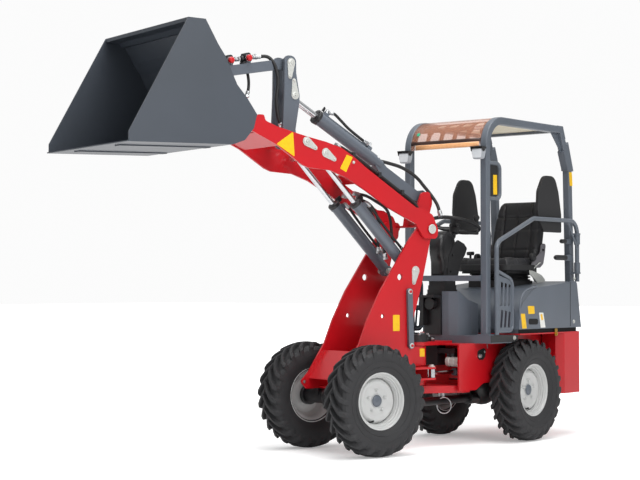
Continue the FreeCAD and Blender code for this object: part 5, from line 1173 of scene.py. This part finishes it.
piece("lamp_shells", lamp_shells, lamp_casting, bevel=3, stands_for=["lamps"])
piece("lamp_hoods", lamp_hoods, black_abs, bevel=0.6)
piece("lamp_lenses", lamp_lenses, lamp_glass, bevel=1)
print("lamps made")

# %% [markdown]
# The head of the steering column is a blown plastic cowl, full and round to the front. Layers of one
# smooth outline that shrinks towards both sides give the cowl its crown.

# %% Column cowl
COWL = [(416, 1100), (420, 1180), (438, 1222), (444, 1275), (432, 1330), (400, 1366), (352, 1384), (300, 1372),
        (262, 1330), (258, 1280), (286, 1226), (300, 1180), (300, 1100)]
COWL_HALF, COWL_Y = 58.0, -75.0
COWL_MIDDLE = Vector((352, 0, 1250))
smooth_outline = flowing([(x, 0, z) for x, z in COWL], 5)
bm = bmesh.new()
layers = []
for k in range(13):
    t = -1 + 2 * k / 12
    full = max(1 - abs(t) ** 3.2, 0.0) ** 0.5
    shrink = Vector((0.55 + 0.45 * full, 0, 0.72 + 0.28 * full))
    shift = Vector((0, COWL_Y + COWL_HALF * t, 0))
    layers.append([bm.verts.new(COWL_MIDDLE + (p - COWL_MIDDLE) * shrink + shift) for p in smooth_outline])
add_skin(bm, layers)
piece("column_cowl", bm, gloss_abs, smooth=70)
print("cowl made")

# %% [markdown]
# ## Studio
# A pale seamless floor, a bright even backdrop and three large soft lights: the key light stands to the
# left of the machine and is kept to a cone, a weak one stands ahead of it and a broad one hangs above. The
# sky lights the machine less than it shows, and the floor's own glow fades near the machine, so a soft
# shadow stays under the tyres.

# %% Floor and lights
FLOOR_SIZE = 60.0
SKY_SEEN = 0.97
SKY_LOW, SKY_HIGH = 0.14, 0.85       # what lights the machine, at the horizon and overhead
GLOW_NEAR, GLOW_FAR = 0.3, 0.95      # the floor's own light under the machine and far from it
GLOW_GIVEN = 0.1                     # what the floor's own light adds to the machine
GLOW_REACH = (2.5, 9.0)              # metres


def studio_floor():
    made = surface("pale floor", "#f6f6f6", "#f3f3f3", (0.9, 0.9), {"Scale": 0.4}, Emission_Color=(1, 1, 1, 1))
    tree = made.node_tree
    spot = node(tree, "ShaderNodeNewGeometry").outputs["Position"]
    far = node(tree, "ShaderNodeVectorMath", {"operation": "LENGTH"}, i0=spot).outputs["Value"]
    ring = spread(tree, far, GLOW_NEAR, GLOW_FAR, *GLOW_REACH)
    seen = node(tree, "ShaderNodeLightPath").outputs["Is Camera Ray"]
    tree.links.new(spread(tree, seen, GLOW_GIVEN, ring, 0.0, 1.0),
                   tree.nodes["Principled BSDF"].inputs["Emission Strength"])
    bm = bmesh.new()
    bmesh.ops.create_grid(bm, x_segments=1, y_segments=1, size=FLOOR_SIZE)
    mesh = bpy.data.meshes.new("floor")
    bm.to_mesh(mesh)
    bm.free()
    mesh.materials.append(made)
    floor = bpy.data.objects.new("floor", mesh)
    bpy.context.scene.collection.objects.link(floor)


def soft_light(name, place, size, watts, aim=(0, 0, 1.0), cone=180.0):
    data = bpy.data.lights.new(name, "AREA")
    data.shape = "DISK"
    data.size = size
    data.energy = watts
    data.spread = math.radians(cone)
    lamp = bpy.data.objects.new(name, data)
    lamp.location = place
    lamp.rotation_euler = (Vector(aim) - Vector(place)).to_track_quat("-Z", "Y").to_euler()
    bpy.context.scene.collection.objects.link(lamp)


studio_floor()
soft_light("key_light", (2.4, 5.6, 4.4), 4.2, 56, aim=(1.1, 0, 1.0), cone=90)
soft_light("side_light", (7.0, -2.5, 4.0), 4.0, 15)
soft_light("top_light", (0.2, 1.4, 7.5), 4.5, 300)
world = bpy.data.worlds.new("studio")
world.use_nodes = True
tree = world.node_tree
sky = tree.nodes["Background"]
sky.inputs[0].default_value = (1, 1, 1, 1)
way = node(tree, "ShaderNodeSeparateXYZ", i0=node(tree, "ShaderNodeTexCoord").outputs["Generated"])
lit = spread(tree, way.outputs["Z"], SKY_LOW, SKY_HIGH, 0.0, 0.7)
seen = node(tree, "ShaderNodeLightPath").outputs["Is Camera Ray"]
tree.links.new(spread(tree, seen, lit, SKY_SEEN, 0.0, 1.0), sky.inputs[1])
bpy.context.scene.world = world
bpy.context.scene.view_settings.view_transform = "Standard"
print("studio lit")
